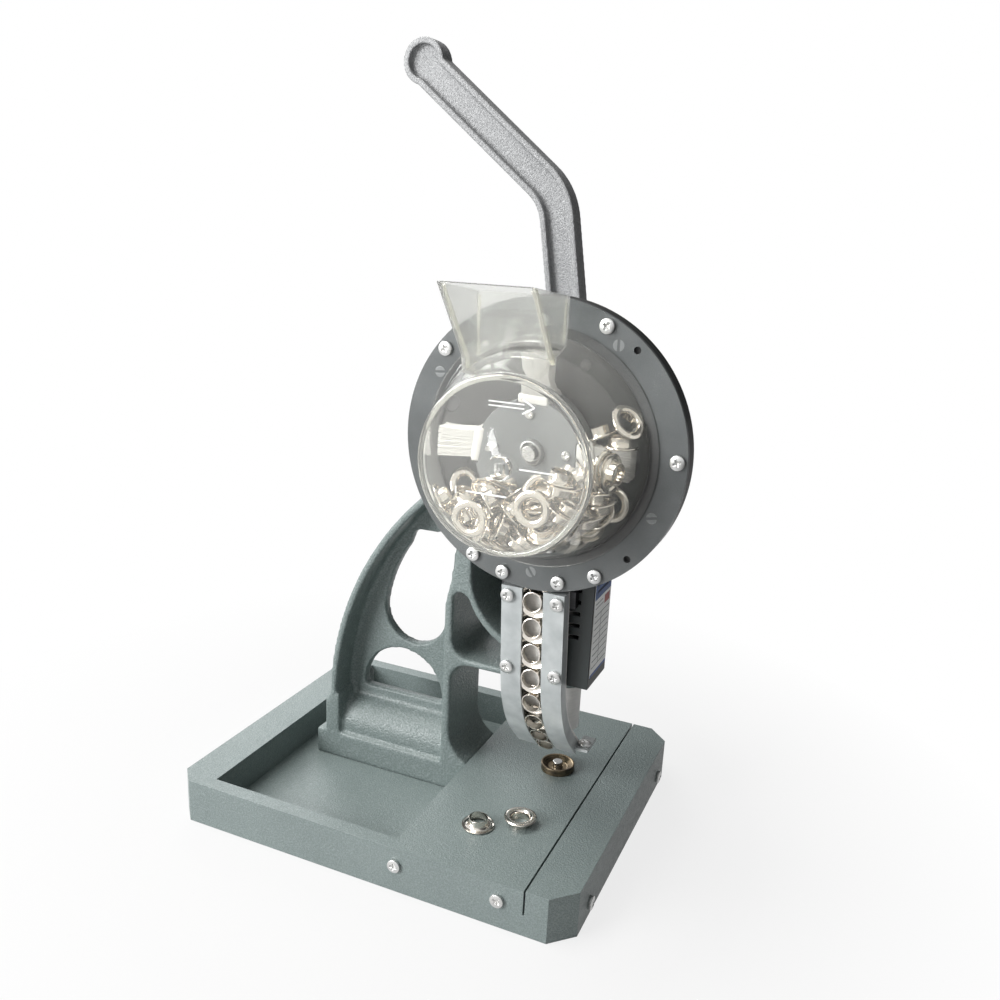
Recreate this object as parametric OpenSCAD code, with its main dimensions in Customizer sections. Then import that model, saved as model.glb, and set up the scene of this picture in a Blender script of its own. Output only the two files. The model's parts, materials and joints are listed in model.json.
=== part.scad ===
// Hand lever eyelet press with a motor driven brush feeder. All lengths are millimetres.
// X runs from the back to the operator, Y from the feeder side to the lever side, Z is up.

/* [Base] */
// Length of the base, back to front
base_l = 283; // [270:1:300]
// Width of the base
base_w = 220; // [190:1:250]
// Height of the base
base_h = 30; // [28:0.5:34]
// Thickness of the bottom plate
plate_t = 6; // [5:0.5:8]
// Width of the side rails
rail_w = 10; // [8:0.5:14]
// Length of the rear cap
rear_cap_l = 26; // [20:0.5:30]
// Length of the front cap, with its groove
front_cap_l = 29.5; // [24:0.5:34]
// Corner cut of the rear cap
rear_cut = 11; // [4:0.5:16]
// Corner cut of the front cap
front_cut = 14; // [4:0.5:18]
// Width of the groove between table and front cap
groove_w = 1.2; // [0.8:0.1:2]
// Height of the foot that the front cap rests on below the groove
groove_foot = 14; // [10:0.5:18]
// Length of the table plate
table_l = 88.5; // [80:0.5:96]
// Thickness of the table plate
table_t = 6; // [5:0.5:8]
// Thickness of the rear wall under the table
apron_t = 8; // [8:0.5:12]
// Thickness of the front wall under the table
nose_t = 20; // [18:0.5:24]

/* [Press frame] */
// Distance of the die axis behind the front wall's face of the table
die_inset = 29; // [28:0.5:34]
// Place of the die axis across the base
die_y = 22; // [10:1:30]
// Width of the casting over its rims
cast_w = 51; // [46:0.5:56]
// Thickness of the casting's web
web_t = 8; // [6:0.5:12]
// Thickness of the casting's rims
rim_t = 5; // [4:0.5:7]
// Thickness of the foot slab
foot_t = 19.5; // [16:0.5:24]
// Radius of the rounded ridge on the foot
ridge_r = 22; // [18:0.5:23]
// Radius of the casting's back
back_r = 230.5; // [225:0.5:236]
// Width of the column's front flange
column_t = 5.8; // [4.5:0.1:8]
// Height of the arm plate over the foot's seat
arm_z = 98.3; // [94:0.5:100]
// Thickness of the arm plate
arm_t = 4.5; // [4:0.5:7]
// Outer radius of the round head wall
head_r = 52; // [50:0.5:54]
// Diameter of the lower guide boss
boss_d = 34; // [32:0.5:35]
// Height of the lower guide boss
boss_h = 30; // [24:1:34]
// Height of the head block
head_h = 82; // [80:1:90]

/* [Drive] */
// Diameter of the ram
ram_d = 24; // [22:0.5:25]
// Outer diameter of the ram bushes
bush_d = 28; // [27:0.5:29]
// Module of the rack and its pinion
gear_m = 1.5; // [1.4:0.05:1.6]
// Teeth of the pinion
pinion_n = 20; // [18:2:22]
// Face width of the pinion
pinion_w = 20; // [14:1:24]
// Diameter of the lever shaft
shaft_d = 16; // [12:0.5:18]
// Outer diameter of the shaft bushes
shaft_bush_d = 21; // [19:0.5:22]
// Stroke clearance between bushes and what runs in them
run_gap = 0.05; // [0.02:0.01:0.1]
// Clearance of what is fixed in a hole
fit_gap = 0.05; // [0.02:0.01:0.1]
// Diameter of the punch holder
holder_d = 25; // [20:0.5:26]
// Height of the punch holder's lower face over the foot's seat
punch_z = 60; // [56:0.5:64]
// Height of the spring collar
collar_h = 10; // [8:0.5:12]
// Mean radius of the return spring
spring_r = 15.2; // [14.8:0.1:15.6]
// Wire diameter of the return spring
spring_wire = 2.6; // [2:0.1:3]
// Curls of the return spring
spring_n = 11; // [8:1:13]

/* [Lever] */
// Thickness of the lever
lever_t = 14; // [12:0.5:18]
// Width of the lever bar
lever_w = 23.4; // [20:0.2:26]
// Width of the lever's raised rim
lever_rim = 4; // [3:0.5:6]
// Depth of the lever's recess on each face
lever_dish = 4.5; // [3:0.5:5.5]
// Radius of the lever's hand end
hand_r = 14.7; // [12:0.1:17]
// Radius of the lever's hub
hub_r = 22; // [18:0.5:24]
// Radius of the lever's bend along its middle line
elbow_r = 38; // [30:1:46]

/* [Die] */
// Diameter of the lower die
die_d = 23.5; // [20:0.5:26]
// Height of the lower die over the table
die_h = 5; // [4:0.5:6]
// Diameter of the die's shank
die_shank = 16; // [12:0.5:17]
// Diameter of the anvil under the table
anvil_d = 44; // [36:1:48]

/* [Feeder] */
// Place of the feeder axis before the die axis
feed_x = -1; // [-3:0.5:3]
// Height of the feeder axis over the foot's seat
feed_z = 268; // [266:0.5:270]
// Length of the spacers between head and feeder
spacer_l = 31.5; // [31:0.5:34]
// Radius of the ring plate
ring_r = 86; // [82:0.5:88]
// Thickness of the ring plate
ring_t = 3; // [2:0.5:5]
// Thickness of the back plate
back_t = 10; // [10:0.5:14]
// Radius of the circle of plate screws
screw_circle = 80.3; // [78:0.1:81]
// Outer radius of the drum where it meets the ring plate
drum_r0 = 66; // [64:0.5:68]
// Outer radius of the drum at its front
drum_r1 = 49; // [46:0.5:52]
// Length of the drum
drum_l = 52; // [48:0.5:56]
// Wall of the drum
drum_wall = 2.2; // [1.5:0.1:3]
// Radius of the drum's flange
drum_flange = 70.5; // [70:0.5:74]
// Thickness of the drum's front disc
front_t = 3; // [2:0.5:4]
// Width of the funnel
funnel_w = 54; // [44:1:58]
// Wall of the funnel
funnel_wall = 2; // [1.5:0.1:3]
// Height of the funnel's near rim over the feeder axis
funnel_h = 93; // [86:0.5:100]
// Radius of the brush hub
hub_disc_r = 30; // [28:0.5:32]
// Thickness of the brush hub
hub_disc_t = 14; // [12:0.5:15]
// Reach of the bristles from the feeder axis
bristle_reach = 58; // [50:0.5:58]

/* [Chute] */
// Width of each chute strip
strip_w = 13.5; // [12:0.5:15]
// Thickness of the chute strips
strip_t = 2; // [1.5:0.1:2.5]
// Width of the slot between the strips
slot_w = 13.5; // [13:0.5:14.5]
// Depth of the channel behind the strips
channel_t = 6; // [5.6:0.1:6.4]
// Thickness of the strip behind the channel
chute_back_t = 1.5; // [1:0.1:2]
// Length of the chute's upper straight stretch
chute_drop = 60; // [56:0.5:62]
// Radius of the chute's bend
chute_bend = 85; // [80:0.5:90]
// Length of the chute's lower straight stretch
chute_run = 20; // [16:0.5:22]

/* [Motor] */
// Width of the motor housing
motor_w = 38.5; // [36:0.5:40]
// Depth of the motor housing
motor_d = 35; // [33:0.5:36]
// Height of the motor housing
motor_h = 82; // [70:1:84]
// Wall of the motor housing
motor_wall = 2.5; // [2:0.1:3]
// Diameter of the motor
motor_can_d = 23; // [20:0.5:23]
// Height of the gearbox
gearbox_h = 83; // [82:0.5:88]
// Diameter of the feeder shaft
feeder_shaft_d = 8; // [6:0.5:9]

/* [Eyelets] */
// Flange diameter of an eyelet
eyelet_d = 21; // [20:0.1:21.4]
// Barrel diameter of an eyelet
eyelet_barrel = 12.6; // [11:0.1:13]
// Height of an eyelet
eyelet_h = 6; // [5:0.1:6.4]

/* [Hidden] */
$fn = 64;
base_x0 = -base_l / 2;
base_x1 = base_l / 2;
rail_x0 = base_x0 + rear_cap_l;
rail_x1 = base_x1 - front_cap_l;
table_x0 = rail_x1 - table_l;
inner_w = base_w - 2 * rail_w;
under_table = base_h - table_t;
lap_l = 12;
tenon_l = 8;
tenon_in = 2.5;
side_screw_z = 18.6;
side_screw_x = [table_x0 + apron_t / 2, rail_x1 - nose_t + apron_t / 2];
front_screw_y = [-75, 80];
front_screw_z = 8.8;
screw_d = 4;
screw_head_d = 8.4;
screw_head_h = 2.6;
lap_screw_l = 15;

// The press stands on the bottom plate, its own origin is on the die axis at the foot's seat
die_x = rail_x1 - die_inset;
half = cast_w / 2;
toe_x = table_x0 - die_x;
heel_gap = 14.2;
heel_x = rail_x0 + heel_gap - die_x;
column_x = -74.2;
toe_r = 25.5;
toe_z = foot_t + 26.5;
// The casting's back rim stands in from the heel, its web starts at the rim's inner side
back_in = 11.3;
back_c = [heel_x + back_in + back_r, 44.9];
web_x0 = heel_x + back_in + rim_t;
arch_z = 53.5;
arch_side = 11.9;
arch_r = (column_x - column_t - web_x0) / 2 - arch_side;
arch_c = [(column_x - column_t + web_x0) / 2 + 0.5, 56.8];
pad_z = [44, 51];
ring_c = [-14.4, 166.9];
boss_z = 94;
boss_top = boss_z + boss_h;
head_z = 216;
head_top = head_z + head_h;
head_x0 = ring_c[0] - head_r;
head_x1 = 23;
wall_y = half - 6;
pitch_r = gear_m * pinion_n / 2;
rack_x = -8;
lever_x = rack_x - pitch_r;
shaft_up = 40;
lever_z = head_z + shaft_up;
lever_swing = 90;
stroke = pitch_r * lever_swing * PI / 180;
ram_z0 = 86;
ram_z1 = head_top + 4;
bush_gap = 3.5;
holder_top = boss_z - 0.3;
collar_z = 190;
pocket_r = pitch_r + gear_m + 4;
bush_ends = [lever_z - pocket_r - bush_gap, lever_z + pocket_r + bush_gap];
cover_d = 2 * pocket_r - 3;
cover_flange_d = cover_d + 12;
cover_t = 4;
foot_bolt_x = [heel_x + 14, heel_x + 60, toe_x - 34];
bolt_d = 8;
bolt_head_d = 13;
bolt_head_h = 3;

// Lever places, measured from the lever shaft
lever_y0 = half + 2.5;
lever_y1 = lever_y0 + lever_t;
hand_p = [-112.5, 235.2];
bar_p = [-109.6, 230.8];
elbow_p = [-15.4, 154.3];
neck_p = [3.4, 36];

// Feeder depths are measured towards the feeder side from the casting's centre plane
plate_rear = half + spacer_l;
plate_front = plate_rear + back_t;
ring_front = plate_front + ring_t;
drum_front = ring_front + drum_l;
drum_slope = (drum_r0 - drum_r1) / drum_l;
flange_t = 2;
screw_angles = [64, 2, -61, -78, -103.5, -118.8, 140];
spacer_p = [[-58, lever_z - 31], [-58, lever_z + 31], [-25, lever_z - 34], [15, lever_z + 35]];
spacer_d = 12;
spacer_bolt = 6;
funnel_x = -12;
funnel_rear = 80;
funnel_near = 130;
funnel_foot = 97;
funnel_drop = 6;
hub_rear = ring_front + 1;
hub_front = hub_rear + hub_disc_t;
brush_w = 18;
brush_back_t = 5;
bristle_x = 8;
bristle_y = 10;
bristle_t = 0.75;

// Worm drive behind the back plate
wheel_n = 20;
wheel_m = 1;
wheel_r = wheel_n * wheel_m / 2;
worm_r = 5;
worm_x = feed_x + wheel_r + worm_r;
gearbox_y1 = -plate_rear + 26.5;
gearbox_y0 = -plate_rear;
gearbox_wall = 3;
gearbox_x0 = feed_x - wheel_r - 5;
gearbox_x1 = worm_x + 15;
gearbox_z0 = feed_z - 69;
drive_y = (gearbox_y0 + gearbox_y1) / 2 + 4.25;
motor_x0 = -5;
motor_y0 = gearbox_y0 + 3;
motor_z0 = gearbox_z0 - motor_h;

// Chute path: a straight fall, a bend and a straight run
chute_lean = 4.9;
chute_end = 45;
chute_top = feed_z - ring_r - 0.5;
chute_w = slot_w + 2 * strip_w;
flange_gap = 0.35;
channel_w = eyelet_d + 2 * flange_gap;
rail_side = (chute_w - channel_w) / 2;
chute_p0 = [-ring_front, chute_top];
chute_p1 = chute_p0 + chute_drop * [sin(chute_lean), -cos(chute_lean)];
chute_c = chute_p1 + chute_bend * [cos(chute_lean), sin(chute_lean)];
eyelet_pitch = 17.5;
eyelet_tilt = 12;
eyelet_first = 9;

// Eyelets on the table, measured from the die axis
barrel_up_p = [-21, -87];
flange_up_p = [2, -73];

// Springs: points on each turn, sides of the wire, close turns at each end and their gap
coil_points = 8;
coil_sides = 6;
coil_dead = 1.2;
coil_gap = 0.6;

// ---- helpers ----
function arc(c, r, a0, a1, n = 16) = [for (i = [0:n])
    let (a = a0 + (a1 - a0) * i / n) [c[0] + r * cos(a), c[1] + r * sin(a)]];
module along_x(x0, x1) {
    translate([x0, 0, 0]) rotate([90, 0, 90]) linear_extrude(x1 - x0) children();
}
module along_y(y0, y1) {
    translate([0, y1, 0]) rotate([90, 0, 0]) linear_extrude(y1 - y0) children();
}
module rod_y(d, y0, y1) {
    translate([0, y1, 0]) rotate([90, 0, 0]) cylinder(d = d, h = y1 - y0);
}
module rod_x(d, x0, x1) {
    translate([x0, 0, 0]) rotate([0, 90, 0]) cylinder(d = d, h = x1 - x0);
}
module slab(x0, x1, y0, y1, z0, z1) {
    translate([x0, y0, z0]) cube([x1 - x0, y1 - y0, z1 - z0]);
}
module tube(d, bore, h) {
    difference() {
        cylinder(d = d, h = h);
        translate([0, 0, -1]) cylinder(d = bore, h = h + 2);
    }
}
// A cross slotted screw along Z, its head's seat at the origin
module screw(len, d = screw_d, head_d = screw_head_d, head_h = screw_head_h) {
    difference() {
        union() {
            cylinder(d = head_d, h = head_h);
            translate([0, 0, -len]) cylinder(d = d, h = len + 0.1);
        }
        for (a = [0, 90]) rotate([0, 0, a])
            slab(-head_d * 0.32, head_d * 0.32, -0.5, 0.5, head_h * 0.5, head_h + 1);
    }
}
module press() {
    translate([die_x, die_y, plate_t]) children();
}
module feeder() {
    press() translate([feed_x, 0, feed_z]) children();
}
// A turned shape about the feeder axis, its profile is radius against depth
module turned() {
    rotate([90, 0, 0]) rotate_extrude($fn = 96) children();
}
// A gear about Z with straight flanks, one tooth centred on +X
module gear2d(n, m, backlash) {
    r = n * m / 2;
    half_pitch = 90 / n - backlash / (2 * r) * 180 / PI;
    root = r - 1.25 * m;
    tip = r + m;
    polygon([for (i = [0:n - 1], p = [[-1.62, root], [-0.52, tip], [0.52, tip], [1.62, root]])
        let (a = 360 * i / n + p[0] * half_pitch) p[1] * [cos(a), sin(a)]]);
}

// ---- base ----
module base_plate() {
    color("slategray") difference() {
        slab(rail_x0 - lap_l, rail_x1, -inner_w / 2, inner_w / 2, 0, plate_t);
        lap_screw_places() {
            translate([0, 0, -1]) cylinder(d = screw_d + 0.4, h = plate_t + 2);
            translate([0, 0, -1]) cylinder(d = screw_head_d + 0.6, h = screw_head_h + 1.3);
        }
        foot_bolt_places() {
            translate([0, 0, -1]) cylinder(d = bolt_d + 0.4, h = plate_t + 2);
            translate([0, 0, -1]) cylinder(d = bolt_head_d + 0.6, h = bolt_head_h + 1.5);
        }
    }
}
module foot_bolt_places() {
    for (x = foot_bolt_x, s = [-1, 1])
        translate([die_x + x, die_y + s * (half - 9), 0]) children();
}
module lap_screw_places() {
    for (s = [-1, 1]) translate([rail_x0 - lap_l / 2, s * inner_w * 0.4, 0]) children();
}
// Tongue at the back end of a rail, with some play for its pocket
module tenon(s, play) {
    y = s * (inner_w + rail_w) / 2;
    w = rail_w / 2 - tenon_in + play;
    slab(rail_x0 - tenon_l - play, rail_x0 + 0.01, y - w, y + w, 6 - play, base_h - 6 + play);
}
module rail(s) {
    y = s * (inner_w + rail_w) / 2;
    color("slategray") difference() {
        union() {
            slab(rail_x0, rail_x1, y - rail_w / 2, y + rail_w / 2, 0, base_h);
            tenon(s, 0);
        }
        slab(table_x0, rail_x1 + 1, min(0, s * base_w), max(0, s * base_w), under_table, base_h + 1);
        for (x = side_screw_x) translate([x, 0, side_screw_z])
            rod_y(screw_d + 0.4, -base_w, base_w);
    }
}
module near_rail() {
    rail(-1);
}
module far_rail() {
    rail(1);
}
module cap_outline(x0, x1, cut, s) {
    w = base_w / 2;
    xa = s > 0 ? x0 : x1;
    xb = s > 0 ? x1 : x0;
    polygon([[xa, -w], [xb - s * cut, -w], [xb, -w + cut], [xb, w - cut], [xb - s * cut, w], [xa, w]]);
}
module rear_cap() {
    color("slategray") difference() {
        linear_extrude(base_h) cap_outline(base_x0, rail_x0, rear_cut, -1);
        slab(rail_x0 - lap_l - fit_gap, rail_x0 + 1, -inner_w / 2 - fit_gap, inner_w / 2 + fit_gap,
            -1, plate_t);
        for (s = [-1, 1]) tenon(s, fit_gap);
        lap_screw_places() cylinder(d = screw_d + 2 * fit_gap, h = lap_screw_l + 2 * screw_head_h);
    }
}
module front_cap() {
    color("slategray") difference() {
        union() {
            linear_extrude(base_h) cap_outline(rail_x1 + groove_w, base_x1, front_cut, 1);
            linear_extrude(groove_foot) cap_outline(rail_x1, base_x1, front_cut, 1);
        }
        for (y = front_screw_y) translate([0, y, front_screw_z])
            rod_x(screw_d + 0.4, 0, base_x1 + 1);
    }
}
module table_plate() {
    color("slategray") difference() {
        union() {
            slab(table_x0, rail_x1, -base_w / 2, base_w / 2, under_table, base_h);
            slab(table_x0, table_x0 + apron_t, -inner_w / 2, inner_w / 2, plate_t, under_table);
            slab(rail_x1 - nose_t, rail_x1, -inner_w / 2, inner_w / 2, plate_t, under_table);
        }
        translate([die_x, die_y, 0]) cylinder(d = die_shank + 0.4, h = base_h + 1);
        translate([die_x, die_y, 0]) cylinder(d = anvil_d + 0.6, h = under_table);
        for (x = side_screw_x) translate([x, 0, side_screw_z])
            rod_y(screw_d + 2 * fit_gap, -base_w, base_w);
        for (y = front_screw_y) translate([rail_x1, y, front_screw_z])
            rod_x(screw_d + 2 * fit_gap, -16, 1);
    }
}
module base_screws() {
    color("silver") {
        for (s = [-1, 1], x = side_screw_x)
            translate([x, s * base_w / 2, side_screw_z]) rotate([-s * 90, 0, 0]) screw(rail_w + 12);
        for (y = front_screw_y)
            translate([base_x1, y, front_screw_z]) rotate([0, 90, 0]) screw(front_cap_l + 10);
        lap_screw_places() translate([0, 0, screw_head_h + 0.3]) mirror([0, 0, 1]) screw(lap_screw_l);
    }
}

// ---- casting ----
module back_sector(r) {
    translate(back_c) circle(r = r, $fn = 240);
}
module bean() {
    polygon(concat(arc([-114.5, 120], 24.3, 175, 357, 28), arc([-92.5, 175], 8.5, -7, 80, 10),
        arc([-110.5, 174], 8.5, 80, 142, 8), arc([-25.2, 105.7], 115, 146, 170, 12)));
}
module d_hole() {
    intersection() {
        translate(arch_c) circle(r = arch_r, $fn = 96);
        translate([heel_x, arch_z]) square([-heel_x, 2 * arch_r]);
    }
}
// The clear window between the column, the arm and the round head wall
module head_window() {
    z = arm_z + arm_t;
    x = ring_c[0] + 3;
    polygon(concat([[x, z]], arc([column_x + 13, z + 13], 13, 270, 180, 10),
        arc([column_x + 5, 146], 5, 180, 40, 8), arc(ring_c, head_r, 198.5, 270, 24),
        [[x, ring_c[1] - head_r]]));
}
// Side view of the thin web
module web_shape() {
    difference() {
        intersection() {
            back_sector(back_r - rim_t / 2);
            polygon([[heel_x, foot_t], [column_x, foot_t], [column_x, 150], [head_x0, 170],
                [head_x0, 300], [heel_x, 300]]);
        }
        bean();
        d_hole();
    }
}
// Side view of the rims over the full width
module rim_shape() {
    difference() {
        intersection() {
            back_sector(back_r);
            polygon([[heel_x, foot_t - 1.5], [head_x0 + 20, foot_t - 1.5], [head_x0 + 20, head_top],
                [heel_x, head_top]]);
        }
        back_sector(back_r - rim_t);
    }
    // heel pad
    polygon([[heel_x + 7.3, foot_t - 1.5], [heel_x + 7.3, pad_z[0]], [heel_x + back_in + 0.3, pad_z[1]],
        [web_x0 + 3, pad_z[1]], [web_x0 + 3, foot_t - 1.5]]);
    // column flange with its toe
    translate([column_x - column_t, foot_t - 1]) square([column_t, arm_z - foot_t + 1]);
    polygon(concat([[column_x - 1, foot_t - 1], [column_x - 1, toe_z]],
        arc([column_x + toe_r, toe_z], toe_r, 180, 360 - acos((toe_x - column_x - toe_r) / toe_r), 12),
        [[toe_x, foot_t - 1]]));
    head_shape();
}
// Side view of the arm, the head's lower part and its left wall
module head_shape() {
    difference() {
        union() {
            polygon(concat([[column_x - column_t, arm_z - 1], [column_x - column_t, 142], [column_x, 168],
                [column_x + 4, head_z + 1], [head_x0 + 20, head_z + 1], [head_x0 + 20, 150],
                [ring_c[0] + 1, 130], [ring_c[0] + 1, arm_z]],
                arc([column_x + 13, arm_z - 13], 13, 90, 180, 10)));
            translate(ring_c) circle(r = head_r, $fn = 160);
            translate([head_x0, ring_c[1]]) square([rim_t, head_z - ring_c[1] + 1]);
        }
        head_window();
        translate(ring_c) circle(r = head_r - rim_t, $fn = 160);
        translate([head_x0 + rim_t, ring_c[1]]) square([200, 200]);
        translate([ring_c[0] + 1, 0]) square([200, 400]);
    }
}
module frame_casting() {
    color("darkslategray") press() difference() {
        union() {
            slab(heel_x, toe_x, -half, half, 0, foot_t);
            along_y(-half, half) rim_shape();
            along_y(-web_t / 2, web_t / 2) web_shape();
            // rounded ridge along the foot
            intersection() {
                translate([0, 0, foot_t + 3.5]) rod_x(2 * ridge_r, web_x0, column_x - 1);
                slab(heel_x, 0, -half, half, foot_t - 1, foot_t + 2 * ridge_r);
            }
            // web below the arched opening
            slab(web_x0, column_x - 1, -web_t / 2, web_t / 2, foot_t, arch_z);
            // back wall of the head
            along_y(wall_y, half) polygon(concat(arc(ring_c, head_r - 1, 180, 270, 20),
                [[16, ring_c[1] - head_r + 1], [16, head_z + 1], [head_x0 + 1, head_z + 1]]));
            // floor between the round wall, the boss and the back wall
            slab(ring_c[0], 12, -10, half, ring_c[1] - head_r, ring_c[1] - head_r + rim_t);
            slab(ring_c[0], 12, -10, half - 6, arm_z, arm_z + arm_t);
            translate([0, 0, boss_z]) cylinder(d = boss_d, h = boss_h);
            // rib from the boss to the back wall
            slab(-4, 4, 0, half, boss_z + 4, boss_top);
            head_block();
        }
        head_cuts();
    }
}
module head_block() {
    along_y(-half, half) polygon(concat(arc([head_x0 + 10, head_top - 10], 10, 180, 90, 8),
        arc([head_x1 - 10, head_top - 10], 10, 90, 0, 8), [[head_x1, head_z], [head_x0, head_z]]));
}
module head_cuts() {
    // ram and its bushes
    translate([0, 0, boss_z - 1]) cylinder(d = bush_d + 2 * fit_gap, h = head_top - boss_z + 2);
    // pinion pocket, open to the feeder side
    translate([lever_x, 0, lever_z]) {
        rod_y(2 * pocket_r, -pinion_w / 2 - 1, pinion_w / 2 + 1);
        rod_y(cover_d + 2 * fit_gap, -half - 1, 0);
        rod_y(shaft_bush_d + 2 * fit_gap, 0, half + 1);
    }
    // holes for the spacer bolts and the foot bolts
    for (p = spacer_p) translate([p[0], 0, p[1]]) rod_y(spacer_bolt + 2 * fit_gap, -half - 1, -half + 12);
    translate([-die_x, -die_y, -plate_t]) foot_bolt_places()
        cylinder(d = bolt_d + 2 * fit_gap, h = plate_t + foot_t - 3);
    for (p = cover_screw_places()) translate([p[0], 0, p[1]])
        rod_y(screw_d + 2 * fit_gap, -half - 1, -half + 8);
}
function cover_screw_places() = [for (i = [0:3]) [lever_x, lever_z]
    + (cover_flange_d / 2 - 3) * [cos(45 + 90 * i), sin(45 + 90 * i)]];
module foot_bolts() {
    color("dimgray") foot_bolt_places() {
        translate([0, 0, 0.5]) cylinder(d = bolt_head_d, h = bolt_head_h);
        translate([0, 0, 0.5]) cylinder(d = bolt_d, h = plate_t + foot_t - 6);
    }
}

// ---- drive ----
module ram_bushes() {
    bore = ram_d + 2 * run_gap;
    color("goldenrod") press() {
        translate([0, 0, boss_z]) tube(bush_d, bore, boss_h);
        translate([0, 0, head_z]) tube(bush_d, bore, bush_ends[0] - head_z);
        translate([0, 0, bush_ends[1]]) tube(bush_d, bore, head_top - bush_ends[1]);
    }
}
module shaft_bushes() {
    bore = shaft_d + 2 * run_gap;
    color("goldenrod") press() translate([lever_x, 0, lever_z]) {
        difference() {
            rod_y(shaft_bush_d, pinion_w / 2 + 1, half);
            rod_y(bore, 0, half + 1);
        }
        difference() {
            rod_y(shaft_bush_d, -half, -pinion_w / 2 - 1);
            rod_y(bore, -half - 1, 0);
        }
    }
}
module pinion_cover() {
    color("darkslategray") press() difference() {
        translate([lever_x, 0, lever_z]) difference() {
            union() {
                rod_y(cover_flange_d, -half - cover_t, -half);
                rod_y(cover_d, -half, -pinion_w / 2 - 3);
            }
            rod_y(shaft_bush_d + 2 * fit_gap, -half, 0);
        }
        for (p = cover_screw_places()) translate([p[0], 0, p[1]])
            rod_y(screw_d + 0.4, -half - cover_t - 1, 0);
    }
}
module ram_spring() {
    color("silver") press() coil(spring_r, spring_wire, boss_top, collar_z, spring_n);
}
// A spring as one unbroken tube whose end curls lie close
module coil(r, wire, z0, z1, n, dead = coil_dead, flat = 1) {
    sides = coil_sides;
    line = coil_line(r, wire, z1 - z0, n, dead);
    rings = len(line) - 1;
    polyhedron(points = [for (i = [0:rings], k = [0:sides - 1]) let (a = 360 * i / coil_points,
            b = 360 * k / sides, q = wire / 2 * cos(b))
            [line[i][0] + q * cos(a), line[i][1] + q * sin(a), z0 + line[i][2] + flat * wire / 2 * sin(b)]],
        faces = concat([[for (k = [sides - 1:-1:0]) k]],
            [for (i = [0:rings - 1], k = [0:sides - 1]) let (j = (k + 1) % sides)
                [i * sides + k, i * sides + j, (i + 1) * sides + j]],
            [for (i = [0:rings - 1], k = [0:sides - 1]) let (j = (k + 1) % sides)
                [i * sides + k, (i + 1) * sides + j, (i + 1) * sides + k]],
            [[for (k = [0:sides - 1]) rings * sides + k]]));
}
// Middle line of a spring of height h with n turns, from its foot
function coil_line(r, wire, h, n, dead) = [for (i = [0:n * coil_points])
    let (t = i / coil_points, a = 360 * t)
        [r * cos(a), r * sin(a), wire / 2 + coil_rise(t, n, h - wire, dead, wire + coil_gap)]];
// Rise at turn t of n: the close pitch over the end curls, an even one between them
function coil_rise(t, n, rise, dead, close) = t < dead ? t * close
    : t > n - dead ? rise - (n - t) * close
    : dead * close + (t - dead) * (rise - 2 * dead * close) / (n - 2 * dead);
// Least distance between the surfaces of turns of one spring
function self_gap(line, wire) = min([for (i = [0:len(line) - 1])
    for (j = [i + coil_points / 2:len(line) - 1]) norm(line[i] - line[j])]) - wire;

function unit(v) = v / norm(v);
function left(v) = [-v[1], v[0]];
// Corner on side s of a band of half width w that turns from direction a to b at p
function mitre(p, a, b, w, s) = let (m = unit(left(a) + left(b))) p + s * m * w / (m * left(a));
// Side view of the lever's arm, from its round hand end down to the neck or on to the hub
module lever_outline(grow, to_hub) {
    w = lever_w / 2 + grow;
    r = hand_r + grow;
    d1 = unit(elbow_p - bar_p);
    d2 = unit(neck_p - elbow_p);
    d3 = -unit(neck_p);
    off = (hand_p - bar_p) * left(d1);
    a1 = atan2(d1[1], d1[0]);
    a2 = atan2(d2[1], d2[0]);
    foot = to_hub ? [mitre(neck_p, d2, d3, w, -1), -w * left(d3), w * left(d3), mitre(neck_p, d2, d3, w, 1)]
        : [neck_p - w * left(d2), neck_p + w * left(d2)];
    bend = mitre(elbow_p, d1, d2, elbow_r, -1);
    polygon(concat(arc(hand_p, r, a1 + asin((w - off) / r), a1 + 360 - asin((w + off) / r), 24),
        arc(bend, elbow_r - w, a1 + 90, a2 + 90, 10), foot,
        arc(bend, elbow_r + w, a2 + 90, a1 + 90, 14)));
}
module lever() {
    color("silver") press() translate([lever_x, 0, lever_z]) difference() {
        union() {
            along_y(lever_y0, lever_y1) lever_outline(0, true);
            rod_y(2 * hub_r, lever_y0 - 1.5, lever_y1 + 1);
        }
        for (y = [lever_y0 - 1, lever_y1 - lever_dish])
            along_y(y, y + lever_dish + 1) lever_outline(-lever_rim, false);
        rod_y(shaft_d + 2 * fit_gap, 0, lever_y1 + 10);
    }
}
module lever_shaft() {
    color("gray") press() translate([lever_x, 0, lever_z]) {
        rod_y(shaft_d, -half + 1, lever_y1 + 1);
        rod_y(10, lever_y1, lever_y1 + 13);
    }
}
module lever_nut() {
    color("silver") press() translate([lever_x, 0, lever_z]) difference() {
        union() {
            rod_y(22, lever_y1 + 1, lever_y1 + 3);
            rod_y_hex(17, lever_y1 + 3, lever_y1 + 11);
        }
        rod_y(10 + 2 * fit_gap, lever_y1, lever_y1 + 20);
    }
}
module rod_y_hex(flat, y0, y1) {
    translate([0, y1, 0]) rotate([90, 0, 0]) cylinder(r = flat / 2 / cos(30), h = y1 - y0, $fn = 6);
}
module pinion() {
    color("dimgray") press() translate([lever_x, 0, lever_z]) difference() {
        along_y(-pinion_w / 2, pinion_w / 2) gear2d(pinion_n, gear_m, 0.5);
        rod_y(shaft_d + 2 * fit_gap, -pinion_w, pinion_w);
    }
}
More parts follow.
